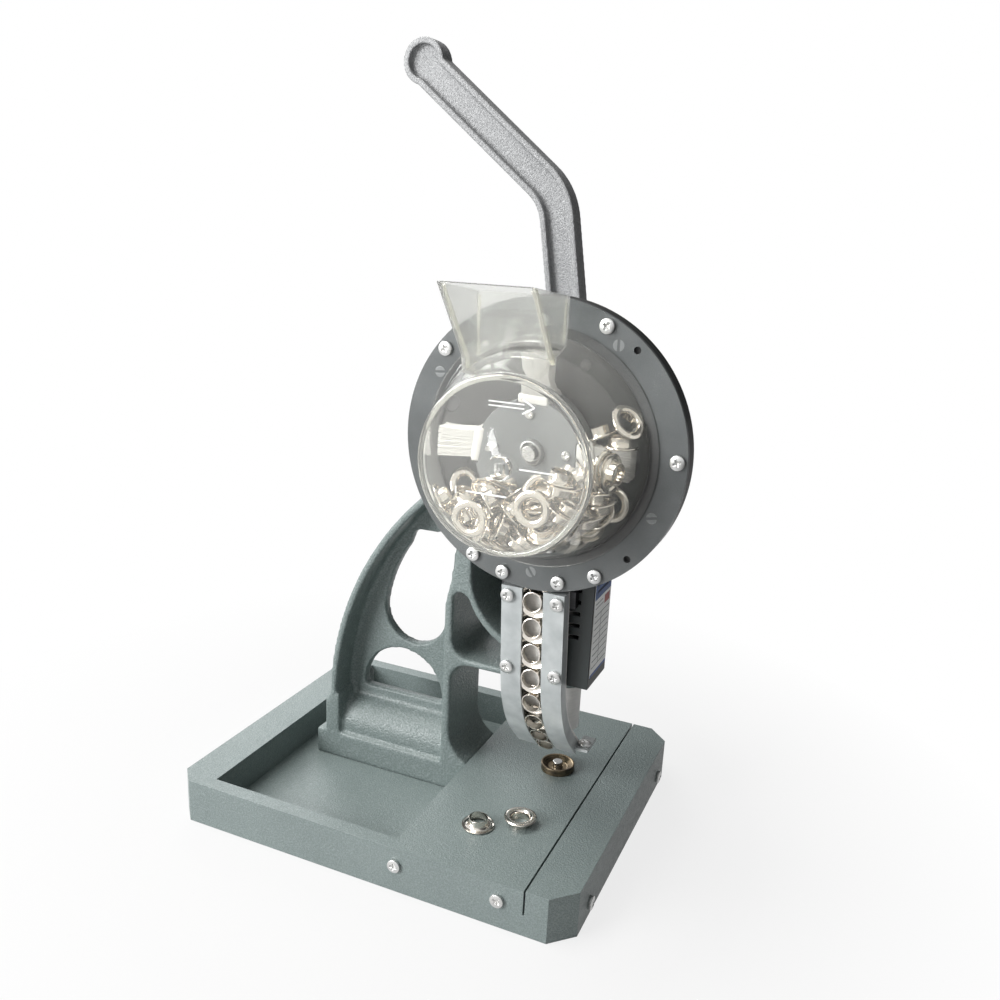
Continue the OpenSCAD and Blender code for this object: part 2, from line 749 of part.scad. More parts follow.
module ram() {
    p = PI * gear_m;
    rows = ceil((stroke + 22) / p);
    tip_x = rack_x - gear_m;
    root_x = rack_x + 1.25 * gear_m;
    color("silver") press() difference() {
        translate([0, 0, ram_z0]) cylinder(d = ram_d, h = ram_z1 - ram_z0);
        slab(-ram_d, tip_x, -ram_d, ram_d, lever_z - 10, lever_z - 10 + (rows + 0.5) * p);
        for (i = [-2:rows - 3]) translate([0, 0, lever_z + i * p])
            along_y(-ram_d, ram_d) polygon([[tip_x - 1, -0.4 * p], [tip_x, -0.36 * p], [root_x, -0.13 * p],
                [root_x, 0.13 * p], [tip_x, 0.36 * p], [tip_x - 1, 0.4 * p]]);
        translate([0, 0, ram_z0 - 1]) cylinder(d = 12 + 2 * fit_gap, h = 26);
    }
}
module ram_collar() {
    color("dimgray") press() translate([0, 0, collar_z + 0.2])
        tube(2 * spring_r + spring_wire - 1, ram_d + 2 * fit_gap, collar_h);
}
module punch_holder() {
    color("lightgray") press() difference() {
        translate([0, 0, punch_z]) cylinder(d = holder_d, h = holder_top - punch_z);
        translate([0, 0, ram_z0]) cylinder(d = ram_d + 2 * fit_gap, h = 40);
        translate([0, 0, punch_z - 1]) cylinder(d = 12 + 2 * fit_gap, h = 60);
    }
}
module punch() {
    color("gray") press() {
        translate([0, 0, punch_z]) cylinder(d = 12, h = ram_z0 - punch_z + 20);
        translate([0, 0, punch_z - 5]) cylinder(d1 = 8, d2 = 10.6, h = 5);
    }
}

// ---- die ----
die_spring_r = 3.9;
die_spring_wire = 0.9;
die_spring_z0 = base_h - 18;
die_spring_z1 = base_h - 6;
die_spring_n = 5;
module die_anvil() {
    color("dimgray") translate([die_x, die_y, plate_t])
        tube(anvil_d, die_shank + 2 * fit_gap, under_table - plate_t);
}
module lower_die() {
    color("tan") translate([die_x, die_y, 0]) difference() {
        union() {
            translate([0, 0, base_h]) cylinder(d = die_d, h = die_h);
            translate([0, 0, plate_t]) cylinder(d = die_shank, h = base_h - plate_t + 1);
        }
        translate([0, 0, base_h + die_h - 3]) cylinder(d1 = eyelet_barrel + 1, d2 = die_d - 3, h = 3.01);
        translate([0, 0, base_h - 18]) cylinder(d = 7 + 2 * run_gap, h = 40);
        translate([0, 0, base_h - 18]) cylinder(d = 10, h = 15);
    }
}
module die_pilot() {
    color("silver") translate([die_x, die_y, 0]) {
        translate([0, 0, base_h - 5]) cylinder(d = 7, h = die_h + 6);
        translate([0, 0, base_h - 6]) cylinder(d = 9.4, h = 2.6);
    }
}
module die_spring() {
    color("silver") translate([die_x, die_y, 0])
        coil(die_spring_r, die_spring_wire, die_spring_z0, die_spring_z1, die_spring_n);
}

// ---- feeder ----
module feeder_spacers() {
    color("silver") press() for (p = spacer_p) translate([p[0], 0, p[1]]) difference() {
        rod_y(spacer_d, -plate_rear, -half);
        rod_y(spacer_bolt + 0.4, -plate_rear - 1, 0);
    }
}
module feeder_bolts() {
    color("dimgray") press() for (p = spacer_p) translate([p[0], 0, p[1]]) {
        rod_y(10, -plate_front + 0.5, -plate_front + 6);
        rod_y(spacer_bolt, -plate_front + 5, -half + 11);
    }
}
module screw_ring() {
    for (a = screw_angles) translate([screw_circle * cos(a), 0, screw_circle * sin(a)]) children();
}
module back_plate() {
    color([0.08, 0.08, 0.09]) difference() {
        feeder() difference() {
            rod_y(2 * ring_r, -plate_front, -plate_rear);
            rod_y(feeder_shaft_d + 4, -plate_front - 1, 0);
            screw_ring() rod_y(screw_d + 2 * fit_gap, -plate_front - 1, 0);
            // fall way of the eyelets into the chute
            slab(-channel_w / 2 - feed_x, channel_w / 2 - feed_x, -plate_front - 1,
                -ring_front + strip_t + channel_t + 1, -ring_r - 1, -drum_r0 + eyelet_d);
        }
        press() for (p = spacer_p) translate([p[0], 0, p[1]]) {
            rod_y(spacer_bolt + 0.4, -plate_front - 1, 0);
            rod_y(10.6, -plate_front - 1, -plate_front + 6);
        }
    }
}
module ring_plate() {
    color("dimgray") feeder() difference() {
        rod_y(2 * ring_r, -ring_front, -plate_front);
        rod_y(2 * (drum_r0 - drum_wall), -ring_front - 1, 0);
        screw_ring() rod_y(screw_d + 0.4, -ring_front - 1, 0);
        for (a = [49, -45]) translate([screw_circle * cos(a), 0, screw_circle * sin(a)])
            rod_y(screw_d, -ring_front - 1, 0);
    }
}
module plate_screws() {
    color("silver") feeder() screw_ring() translate([0, -ring_front, 0])
        rotate([90, 0, 0]) screw(ring_t + back_t - 1);
}
module drum() {
    color([0.85, 0.9, 0.9, 0.35]) feeder() difference() {
        turned() polygon([[drum_r0 - drum_wall, ring_front], [drum_flange, ring_front],
            [drum_flange, ring_front + flange_t], [drum_r0 - flange_t * drum_slope, ring_front + flange_t],
            [drum_r1, drum_front], [drum_r1 - drum_wall, drum_front]]);
        slab(funnel_x - feed_x - funnel_w / 2 + funnel_wall, funnel_x - feed_x + funnel_w / 2 - funnel_wall,
            -funnel_foot + 4, -funnel_rear - funnel_wall, 20, 100);
    }
}
module drum_front() {
    color([0.85, 0.9, 0.9, 0.35]) feeder() difference() {
        union() {
            rod_y(2 * drum_r1 - 1, -drum_front - front_t, -drum_front);
            rod_y(13, -drum_front - front_t - 3, -drum_front);
        }
        slab(-2.5, 2.5, -drum_front - front_t - 5, -drum_front - front_t + 1, -2.5, 2.5);
    }
}
module funnel() {
    w = funnel_w / 2;
    t = funnel_wall;
    color([0.85, 0.9, 0.85, 0.35]) feeder() translate([funnel_x - feed_x, 0, 0]) difference() {
        along_x(-w, w) polygon([[-funnel_rear, 20], [-funnel_rear, funnel_h - funnel_drop],
            [-funnel_near, funnel_h], [-funnel_foot, drum_r0 - 15], [-funnel_foot, 20]]);
        along_x(-w + t, w - t) polygon([[-funnel_rear - t, 10], [-funnel_rear - t, funnel_h + 1],
            [-funnel_near + 1.2 * t, funnel_h + 1], [-funnel_foot + 1.2 * t, drum_r0 - 15],
            [-funnel_foot + 1.2 * t, 10]]);
        translate([feed_x - funnel_x, 0, 0]) turned() polygon([[0, ring_front], [drum_r0, ring_front],
            [drum_r1, drum_front], [0, drum_front]]);
    }
}

// ---- brush rotor ----
module feeder_shaft() {
    color("gray") feeder() rod_y(feeder_shaft_d, -hub_front - 7, gearbox_y1 - 3);
}
module brush_hub() {
    color("gray") feeder() difference() {
        rod_y(2 * hub_disc_r, -hub_front, -hub_rear);
        rod_y(feeder_shaft_d + 2 * fit_gap, -hub_front - 1, 0);
        for (a = [0:90:270]) rotate([0, a, 0])
            slab(hub_disc_r - 3, hub_disc_r + 5, -hub_front - 1, 0, -brush_w / 2 - fit_gap,
                brush_w / 2 + fit_gap);
    }
}
// A block with a field of square bristles on its +X face, all one mesh of columns on a grid
module brush(a) {
    nx = 2 * bristle_x + 1;
    ny = 2 * bristle_y + 1;
    x0 = hub_disc_r - 3;
    x1 = x0 + brush_back_t;
    y0 = -hub_front + 0.5;
    y1 = -hub_rear - 0.5;
    us = grid_lines(bristle_x, y0, y1);
    vs = grid_lines(bristle_y, -brush_w / 2, brush_w / 2);
    base = [for (i = [0:nx], j = [0:ny]) [x1, us[i], vs[j]]];
    mid = [(y0 + y1) / 2, 0];
    tips = [for (i = [0:bristle_x - 1], j = [0:bristle_y - 1], q = [[0, 0], [1, 0], [1, 1], [0, 1]])
        let (u = us[2 * i + 1 + q[0]] - mid[0], v = vs[2 * j + 1 + q[1]])
            [bristle_reach - abs(v) * 0.12 - (u < 0 ? 1.2 : 0), mid[0] + u * 1.02, v * 1.12]];
    n_base = len(base);
    n_tip = len(tips);
    corners = [[x0, us[0], vs[0]], [x0, us[nx], vs[0]], [x0, us[nx], vs[ny]], [x0, us[0], vs[ny]]];
    c = n_base + n_tip;
    color("white") feeder() rotate([0, a, 0]) polyhedron(points = concat(base, tips, corners),
        faces = concat(
            [for (i = [0:nx - 1], j = [0:ny - 1]) if (i % 2 == 0 || j % 2 == 0)
                for (t = [0, 1]) t == 0 ? [g(i, j, ny), g(i + 1, j + 1, ny), g(i + 1, j, ny)]
                    : [g(i, j, ny), g(i, j + 1, ny), g(i + 1, j + 1, ny)]],
            [for (i = [0:bristle_x - 1], j = [0:bristle_y - 1]) let (p = 2 * i + 1, q = 2 * j + 1,
                t0 = n_base + 4 * (i * bristle_y + j),
                b = [g(p, q, ny), g(p + 1, q, ny), g(p + 1, q + 1, ny), g(p, q + 1, ny)])
                for (k = [0:3], h = [0, 1]) let (m = (k + 1) % 4)
                    h == 0 ? [b[k], t0 + m, b[m]] : [b[k], t0 + k, t0 + m]],
            [for (i = [0:bristle_x * bristle_y - 1], h = [0, 1]) let (t0 = n_base + 4 * i)
                h == 0 ? [t0, t0 + 2, t0 + 1] : [t0, t0 + 3, t0 + 2]],
            [[c, c + 1, c + 2], [c, c + 2, c + 3]],
            side_fan([for (i = [0:nx]) g(i, 0, ny)], c, c + 1),
            side_fan([for (j = [0:ny]) g(nx, j, ny)], c + 1, c + 2),
            side_fan([for (i = [nx:-1:0]) g(i, ny, ny)], c + 2, c + 3),
            side_fan([for (j = [ny:-1:0]) g(0, j, ny)], c + 3, c)));
}
function g(i, j, ny) = i * (ny + 1) + j;
// Lines of a grid that has n bars of the bristle's thickness between n + 1 gaps
function grid_lines(n, a, b) = let (gap = (b - a - n * bristle_t) / (n + 1))
    concat([a], [for (i = [0:n - 1], s = [0, 1]) a + (i + 1) * gap + (i + s) * bristle_t], [b]);
// Triangles of a side wall between a row of upper points and two lower corners
function side_fan(row, c0, c1) = concat([for (i = [0:len(row) - 2]) [row[i], row[i + 1], c0]],
    [[row[len(row) - 1], c1, c0]]);
module brush_1() {
    brush(0);
}
module brush_2() {
    brush(90);
}
module brush_3() {
    brush(180);
}
module brush_4() {
    brush(270);
}
module hub_nut() {
    color("silver") feeder() difference() {
        rod_y_hex(12, -hub_front - 5, -hub_front);
        rod_y(feeder_shaft_d + 2 * fit_gap, -hub_front - 6, 0);
    }
}
module worm_wheel() {
    color("tan") feeder() translate([0, drive_y, 0]) difference() {
        rotate([0, 180 / wheel_n, 0]) along_y(-3.5, 3.5) gear2d(wheel_n, wheel_m, 0.5);
        rod_y(feeder_shaft_d + 2 * fit_gap, -6, 6);
    }
}
module motor_shaft() {
    z0 = motor_z0 + 8;
    color("gray") press() translate([worm_x, drive_y, z0]) cylinder(d = 5, h = feed_z + 10.5 - z0);
}
// The worm's thread is one helical rib on a sleeve, its middle meets a gap of the wheel
module worm() {
    lead = PI * wheel_m;
    n = 6;
    rib = 2.2;
    color("gray") press() translate([worm_x, drive_y, feed_z]) difference() {
        union() {
            translate([0, 0, -n * lead / 2 - 1]) cylinder(r = worm_r - 1.2, h = n * lead + 2);
            rotate([0, 0, 180]) coil(worm_r - 0.25, rib, -(n * lead + rib) / 2, (n * lead + rib) / 2, n,
                dead = 0, flat = 0.7);
        }
        cylinder(d = 5 + 2 * fit_gap, h = 60, center = true);
    }
}

// ---- gearbox and motor ----
module gearbox_case() {
    w = gearbox_wall;
    z1 = gearbox_z0 + gearbox_h;
    color("dimgray") press() difference() {
        slab(gearbox_x0, gearbox_x1, gearbox_y0, gearbox_y1 - 2.5, gearbox_z0, z1);
        slab(gearbox_x0 + w, gearbox_x1 - w, gearbox_y0 + w, gearbox_y1, gearbox_z0 + w, z1 - w);
        translate([feed_x, 0, feed_z]) rod_y(feeder_shaft_d + 4, gearbox_y0 - 1, 0);
        translate([worm_x, drive_y, gearbox_z0 - 1]) cylinder(d = 10, h = 10);
    }
}
module gearbox_cover() {
    color("dimgray") press() slab(gearbox_x0, gearbox_x1, gearbox_y1 - 2.5, gearbox_y1,
        gearbox_z0, gearbox_z0 + gearbox_h);
}
module feeder_bushes() {
    color("goldenrod") feeder() difference() {
        rod_y(feeder_shaft_d + 4 - 2 * fit_gap, -plate_front, gearbox_y0 + gearbox_wall);
        rod_y(feeder_shaft_d + 2 * run_gap, -plate_front - 1, 0);
    }
}
module motor_box(grow) {
    slab(motor_x0 - grow, motor_x0 + motor_w + grow, motor_y0 - grow, motor_y0 + motor_d + grow,
        motor_z0 - grow, motor_z0 + motor_h);
}
module motor_housing() {
    color([0.12, 0.16, 0.16]) press() difference() {
        motor_box(0);
        translate([0, 0, -motor_wall - 1]) motor_box(-motor_wall);
        translate([worm_x, drive_y, motor_z0 + motor_h - 10]) cylinder(d = 10, h = 20);
        // vents on the near face
        for (i = [0:4]) slab(motor_x0 + 6, motor_x0 + motor_w - 8, motor_y0 - 1, motor_y0 + motor_wall + 1,
            motor_z0 + 32 + 7.6 * i, motor_z0 + 34.4 + 7.6 * i);
    }
}
module motor_end_cap() {
    color([0.12, 0.16, 0.16]) press() slab(motor_x0 + motor_wall + fit_gap,
        motor_x0 + motor_w - motor_wall - fit_gap, motor_y0 + motor_wall + fit_gap,
        motor_y0 + motor_d - motor_wall - fit_gap, motor_z0, motor_z0 + 4);
}
module motor_can() {
    color("silver") press() translate([worm_x, drive_y, motor_z0 + 4]) difference() {
        cylinder(d = motor_can_d, h = motor_h - motor_wall - 8);
        translate([0, 0, 2]) cylinder(d = 5 + 4 * run_gap, h = motor_h);
    }
}
module motor_label() {
    x = motor_x0 + motor_w;
    color("white") press() slab(x, x + 0.4, motor_y0 + 2, motor_y0 + motor_d - 2, motor_z0 + 7,
        motor_z0 + motor_h - 6);
}

// ---- chute ----
// A point of the bend at angle a, set back from the front face by s
function bend_point(a, s) = chute_c - (chute_bend - s) * [cos(a), sin(a)];
function chute_line(s) = concat([chute_p0 + [s / cos(chute_lean), 0]],
    [for (i = [0:10]) bend_point(chute_lean + (chute_end - chute_lean) * i / 10, s)],
    [bend_point(chute_end, s) + chute_run * [sin(chute_end), -cos(chute_end)]]);
function reversed(v) = [for (i = [len(v) - 1:-1:0]) v[i]];
module chute_band(s0, s1) {
    polygon(concat(chute_line(s0), reversed(chute_line(s1))));
}
// Places on the straight fall and the bend, a distance down from the top
module on_chute(dist, s) {
    straight = dist <= chute_drop;
    a = straight ? chute_lean
        : min(chute_end, chute_lean + (dist - chute_drop) / (chute_bend - s) * 180 / PI);
    over = dist - chute_drop - (chute_end - chute_lean) * PI / 180 * (chute_bend - s);
    p = straight ? chute_p0 + dist * [sin(a), -cos(a)] + s * [cos(a), sin(a)]
        : bend_point(a, s) + max(0, over) * [sin(a), -cos(a)];
    translate([0, p[0], p[1]]) rotate([a, 0, 0]) children();
}
jaw_y = -18;
jaw_z = 60;
jaw_screw_x = chute_w / 2 + screw_head_d / 2 + 0.3;
chute_screw_dist = [6, 55];
chute_screw_x = (channel_w + rail_side) / 2;
module chute_holes(d) {
    for (s = chute_screw_dist, x = [-1, 1]) on_chute(s, 0)
        translate([x * chute_screw_x, 0, 0]) rod_y(d, -5, 20);
}
module chute_strips() {
    color("lightsteelblue") press() difference() {
        for (x = [-1, 1]) along_x(x > 0 ? slot_w / 2 : -chute_w / 2, x > 0 ? chute_w / 2 : -slot_w / 2)
            chute_band(0, strip_t);
        chute_holes(screw_d + 0.4);
    }
}
module chute_rails() {
    color("gray") press() difference() {
        for (x = [-1, 1])
            along_x(x > 0 ? channel_w / 2 : -chute_w / 2, x > 0 ? chute_w / 2 : -channel_w / 2)
            chute_band(strip_t, strip_t + channel_t);
        chute_holes(screw_d + 0.4);
    }
}
module chute_back() {
    color("gray") press() difference() {
        along_x(-chute_w / 2, chute_w / 2)
            chute_band(strip_t + channel_t, strip_t + channel_t + chute_back_t);
        chute_holes(screw_d + 2 * fit_gap);
    }
}
module chute_hanger() {
    t = strip_t + channel_t + chute_back_t;
    z0 = chute_top - 11;
    color("gray") press() difference() {
        along_x(-24, 24) polygon([chute_p0 + [t / cos(chute_lean), 0],
            [chute_p0[0] + t / cos(chute_lean) + 11 * tan(chute_lean), z0], [-plate_rear + 3, z0],
            [-plate_rear + 3, gearbox_z0 - 1], [-plate_rear, gearbox_z0 - 1], [-plate_rear, chute_top]]);
        chute_holes(screw_d + 2 * fit_gap);
        translate([feed_x, 0, feed_z]) screw_ring() rod_y(screw_d + 2 * fit_gap, -plate_front, 0);
    }
}
module chute_screws() {
    color("silver") press() for (s = chute_screw_dist, x = [-1, 1]) on_chute(s, 0)
        translate([x * chute_screw_x, 0, 0]) rotate([90, 0, 0]) screw(strip_t + channel_t + 1.4);
    color("silver") press() translate([jaw_screw_x, jaw_y - 3, jaw_z]) screw(4);
}
// Tab at the foot of the right strip that carries the stop screw
module chute_jaw() {
    color("lightgray") press() difference() {
        slab(chute_w / 2, jaw_screw_x + screw_head_d / 2, jaw_y - 9, jaw_y + 9, jaw_z - 2, jaw_z);
        translate([jaw_screw_x, jaw_y - 3, jaw_z - 3]) cylinder(d = screw_d + 2 * fit_gap, h = 4);
    }
}

// ---- eyelets ----
// One eyelet about Z, flange down, barrel up
module eyelet() {
    r = eyelet_d / 2;
    b = eyelet_barrel / 2;
    rotate_extrude($fn = 48) polygon([[b - 0.6, 0.9], [b - 0.2, 0.25], [b + 1, 0], [r - 0.7, 0], [r, 0.6],
        [r - 0.5, 1.2], [b + 1, 0.8], [b, 1.6], [b, eyelet_h], [b - 0.6, eyelet_h]]);
}
module eyelets_hopper() {
    layer_t = eyelet_h + 0.8;
    layers = floor((drum_front - hub_front - 1) / layer_t);
    color("silver") feeder() for (k = [0:layers - 1]) {
        depth = hub_front + 0.8 + k * layer_t;
        reach = drum_r0 - drum_wall - drum_slope * (depth + eyelet_h - ring_front) - eyelet_d / 2 - 0.6;
        for (j = [0:2], i = [-2:2]) {
            p = [(i + ((j + k) % 2) / 2) * (eyelet_d + 0.4), -reach + 1.5 + j * (eyelet_d + 0.4) * 0.87];
            if (norm(p) < reach && norm(p) > eyelet_d && p[1] < -6 + p[0] * 0.2)
                translate([p[0], -depth, p[1]]) rotate([90, 0, 0]) eyelet();
        }
    }
}
module eyelets_chute() {
    color("silver") press() for (i = [0:7])
        on_chute(eyelet_first + i * eyelet_pitch, strip_t + 2.5)
            rotate([90 - eyelet_tilt, 0, 0]) translate([0, 0, -1]) eyelet();
}
module eyelets_table() {
    color("silver") {
        translate([die_x + barrel_up_p[0], die_y + barrel_up_p[1], base_h]) eyelet();
        translate([die_x + flange_up_p[0], die_y + flange_up_p[1], base_h + eyelet_h])
            mirror([0, 0, 1]) eyelet();
    }
}

// Least gaps of the springs to themselves, in millimetres
echo(return_spring_gap = self_gap(coil_line(spring_r, spring_wire, collar_z - boss_top, spring_n,
    coil_dead), spring_wire));
echo(die_spring_gap = self_gap(coil_line(die_spring_r, die_spring_wire, die_spring_z1 - die_spring_z0,
    die_spring_n, coil_dead), die_spring_wire));

base_plate();
near_rail();
far_rail();
rear_cap();
front_cap();
table_plate();
base_screws();
frame_casting();
foot_bolts();
ram_bushes();
shaft_bushes();
pinion_cover();
die_anvil();
lower_die();
die_pilot();
die_spring();
ram_spring();
feeder_spacers();
feeder_bolts();
back_plate();
ring_plate();
plate_screws();
drum();
drum_front();
funnel();
chute_strips();
chute_rails();
chute_back();
chute_hanger();
chute_screws();
chute_jaw();
gearbox_case();
gearbox_cover();
feeder_bushes();
motor_housing();
motor_end_cap();
motor_can();
motor_label();
eyelets_hopper();
eyelets_chute();
eyelets_table();
lever();
lever_shaft();
pinion();
lever_nut();
ram();
ram_collar();
punch_holder();
punch();
feeder_shaft();
brush_hub();
brush_1();
brush_2();
brush_3();
brush_4();
hub_nut();
worm_wheel();
motor_shaft();
worm();
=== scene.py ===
"""Looks of a hand lever eyelet press with a motor driven brush feeder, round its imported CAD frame.

Lengths are metres in the frame of the CAD model: +X towards the operator, -Y towards the feeder,
+Z up.
"""
import json
import math

import bmesh
import bpy
import numpy as np
from mathutils import Matrix, Vector


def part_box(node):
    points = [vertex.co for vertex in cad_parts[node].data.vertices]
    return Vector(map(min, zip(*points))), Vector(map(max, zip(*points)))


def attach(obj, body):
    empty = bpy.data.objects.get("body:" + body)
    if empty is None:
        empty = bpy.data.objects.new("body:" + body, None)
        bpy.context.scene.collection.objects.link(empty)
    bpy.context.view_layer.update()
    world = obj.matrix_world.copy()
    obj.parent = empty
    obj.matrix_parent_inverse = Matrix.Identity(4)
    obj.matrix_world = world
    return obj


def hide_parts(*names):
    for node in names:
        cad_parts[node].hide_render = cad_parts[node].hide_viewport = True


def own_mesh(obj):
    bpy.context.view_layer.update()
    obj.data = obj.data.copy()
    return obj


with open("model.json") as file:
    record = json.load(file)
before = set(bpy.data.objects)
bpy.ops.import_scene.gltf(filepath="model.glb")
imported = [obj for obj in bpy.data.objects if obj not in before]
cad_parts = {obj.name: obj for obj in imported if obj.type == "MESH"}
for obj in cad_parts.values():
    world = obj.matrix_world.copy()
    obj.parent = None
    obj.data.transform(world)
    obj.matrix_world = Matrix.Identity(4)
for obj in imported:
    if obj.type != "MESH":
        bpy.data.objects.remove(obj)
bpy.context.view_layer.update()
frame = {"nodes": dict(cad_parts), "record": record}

# ---- camera, light and floor ----
# A press on a white studio table: a big soft lamp from the left, a smaller one overhead and a weak
# one behind, and a white surround that plain metal and clear plastic mirror.
EYE = Vector((0.2729, -0.5478, 0.3927))
TURN, DIP, ROLL = 1.9751, 0.2742, 0.0482
SENSOR_MM, FOCAL_MM = 36, 34.41
NEAREST, FARTHEST = 0.01, 20


def linked(name, data):
    """A new object of that data in the scene."""
    thing = bpy.data.objects.new(name, data)
    bpy.context.scene.collection.objects.link(thing)
    return thing


ahead = Vector((math.cos(TURN) * math.cos(DIP), math.sin(TURN) * math.cos(DIP), -math.sin(DIP)))
level = Vector((math.sin(TURN), -math.cos(TURN), 0))
upward = level.cross(ahead)
right = math.cos(ROLL) * level + math.sin(ROLL) * upward
above = -math.sin(ROLL) * level + math.cos(ROLL) * upward
lens = bpy.data.cameras.new("camera")
lens.sensor_width, lens.lens = SENSOR_MM, FOCAL_MM
lens.clip_start, lens.clip_end = NEAREST, FARTHEST
camera = linked("camera", lens)
camera.matrix_world = Matrix((right, above, -ahead)).transposed().to_4x4()
camera.location = EYE
bpy.context.scene.camera = camera
bpy.context.scene.view_settings.view_transform = "Standard"


def soft_lamp(name, place, aim, size, watts, tint):
    """A square area lamp of that side at place, turned to shine on aim."""
    light = bpy.data.lights.new(name, "AREA")
    light.size, light.energy, light.color = size, watts, tint
    lamp = linked(name, light)
    lamp.location = place
    lamp.rotation_euler = (Vector(aim) - Vector(place)).to_track_quat("-Z", "Y").to_euler()


soft_lamp("lamp_left", (-1.0, -1.3, 0.72), (0, 0, 0.2), 0.9, 33, (1, 1, 1))
soft_lamp("lamp_over", (-0.55, -0.2, 1.5), (0, 0, 0.1), 0.7, 17, (1, 0.99, 0.97))
soft_lamp("lamp_back", (-0.9, 1.0, 0.9), (0, 0, 0.25), 0.7, 6, (0.97, 0.99, 1))


class Nodes:
    """A node tree that is put together by name, so that each finish reads as a short recipe."""

    def __init__(self, tree, end):
        self.tree = tree
        self.tree.nodes.clear()
        self.end = self.add(end)

    def add(self, kind, values=(), **settings):
        """A node: settings are its properties, values its inputs, as numbers or as sockets."""
        node = self.tree.nodes.new(kind)
        for key, value in settings.items():
            setattr(node, key, value)
        for key, value in dict(values).items():
            if isinstance(value, bpy.types.NodeSocket):
                self.tree.links.new(value, node.inputs[key])
            else:
                node.inputs[key].default_value = value
        return node

    def give(self, **results):
        """Links the sockets to the tree's named outputs."""
        for key, socket in results.items():
            self.tree.links.new(socket, self.end.inputs[key])

    def place(self):
        """Where a point of the surface lies, in metres."""
        return self.add("ShaderNodeTexCoord").outputs["Object"]

    def sum(self, operation, *terms):
        """One sum, such as MAXIMUM of two terms, or MULTIPLY_ADD: first times second plus third."""
        return self.add("ShaderNodeMath", dict(enumerate(terms)), operation=operation).outputs[0]

    def ramp(self, value, low, high, to_low=0.0, to_high=1.0, course="LINEAR"):
        """The value carried from low...high to to_low...to_high, and held beyond them."""
        return self.add("ShaderNodeMapRange", {
            "Value": value, "From Min": low, "From Max": high, "To Min": to_low,
            "To Max": to_high}, interpolation_type=course).outputs["Result"]

    def noise(self, place, scale, detail, **more):
        """Cloudy noise over that place, about 0.5 in the middle."""
        return self.add("ShaderNodeTexNoise", {"Vector": place, "Scale": scale, "Detail": detail,
                                               **more}).outputs["Fac"]

    def tint(self, share, low, high):
        """A colour between low and high, by share."""
        return self.add("ShaderNodeMix", {0: share, 6: low, 7: high}, data_type="RGBA").outputs[2]

    def rays(self, *kinds):
        """1 for rays of any of those kinds, and 0 for others."""
        path = self.add("ShaderNodeLightPath").outputs
        share = path["Is %s Ray" % kinds[0]]
        for kind in kinds[1:]:
            share = self.sum("MAXIMUM", share, path["Is %s Ray" % kind])
        return share

    def coat(self, colour, rough, height=None, depth=0.0, **more):
        """A Principled shader, whose skin stands up by depth metres where height is 1."""
        values = {"Base Color": colour, "Roughness": rough, **more}
        if height is not None:
            bump = self.add("ShaderNodeBump", {"Height": height, "Distance": depth})
            values["Normal"] = bump.outputs[0]
        return self.add("ShaderNodeBsdfPrincipled", values).outputs[0]

    def mixed(self, share, first, second):
        """The first shader where share is 0, and the second where it is 1."""
        return self.add("ShaderNodeMixShader", {0: share, 1: first, 2: second}).outputs[0]

    def glow(self, value):
        """A plain grey that shines by itself."""
        return self.add("ShaderNodeEmission", {"Color": grey(value), "Strength": 1.0}).outputs[0]


class Shade(Nodes):
    """The nodes of a new material, or of the owner that is given."""

    def __init__(self, name, owner=None, end="ShaderNodeOutputMaterial"):
        self.material = owner or bpy.data.materials.new(name)
        self.material.use_nodes = True
        super().__init__(self.material.node_tree, end)

    def out(self, shader):
        """The finished material with that shader."""
        self.give(Surface=shader)
        return self.material


def grey(value):
    return (value, value, value, 1)


# The surround: white to the eye and through clear plastic, and as light or mirror image bright on
# the lamps' side only. MIRRORING are the rays that show it white
MIRRORING = ("Camera", "Glossy", "Transmission")
BRIGHT_WAY, DARK_FROM, BRIGHT_FROM, DARKEST, FILL = (-0.7, -0.45, 0.35), -0.35, 0.45, 0.08, 0.5
bpy.context.scene.world = bpy.data.worlds.new("surround")
sky = Shade("surround", bpy.context.scene.world, "ShaderNodeOutputWorld")
way = sky.add("ShaderNodeVectorMath", {0: sky.add("ShaderNodeTexCoord").outputs["Generated"],
                                       1: BRIGHT_WAY}, operation="DOT_PRODUCT")
side = sky.ramp(way.outputs["Value"], DARK_FROM, BRIGHT_FROM, DARKEST, 1.0, "SMOOTHSTEP")
lit = sky.sum("MULTIPLY", sky.ramp(sky.rays(*MIRRORING), 0.0, 1.0, FILL), side)
shown = sky.sum("MAXIMUM", lit, sky.rays("Camera", "Transmission"))
sky.out(sky.add("ShaderNodeBackground", {"Color": grey(1), "Strength": shown}).outputs[0])

# The floor: grey paper under the press that turns white further out, dark in mirrors on its right
FLOOR_HALF, PAPER_TONE = 6.0, 0.55
SHADE_END, WHITE_FROM, UNDER_WHITE = 0.22, 0.42, 0.8
DARK_REACH, DARK_SHARE, DARK_TONE = 0.35, 0.85, 0.1
floor_mesh = bpy.data.meshes.new("floor")
floor_mesh.from_pydata([(x * FLOOR_HALF, y * FLOOR_HALF, 0)
                        for x, y in ((-1, -1), (1, -1), (1, 1), (-1, 1))], [], [(0, 1, 2, 3)])
linked("floor", floor_mesh)
paper = Shade("floor_paper")
spot = paper.place()
away = paper.add("ShaderNodeVectorMath", {0: spot}, operation="LENGTH").outputs["Value"]
white = paper.sum("MULTIPLY", paper.rays(*MIRRORING),
                  paper.ramp(away, SHADE_END, WHITE_FROM, UNDER_WHITE, 1.0))
sheet = paper.add("ShaderNodeBsdfDiffuse", {"Color": grey(PAPER_TONE)}).outputs[0]
across = paper.add("ShaderNodeSeparateXYZ", {0: spot}).outputs["X"]
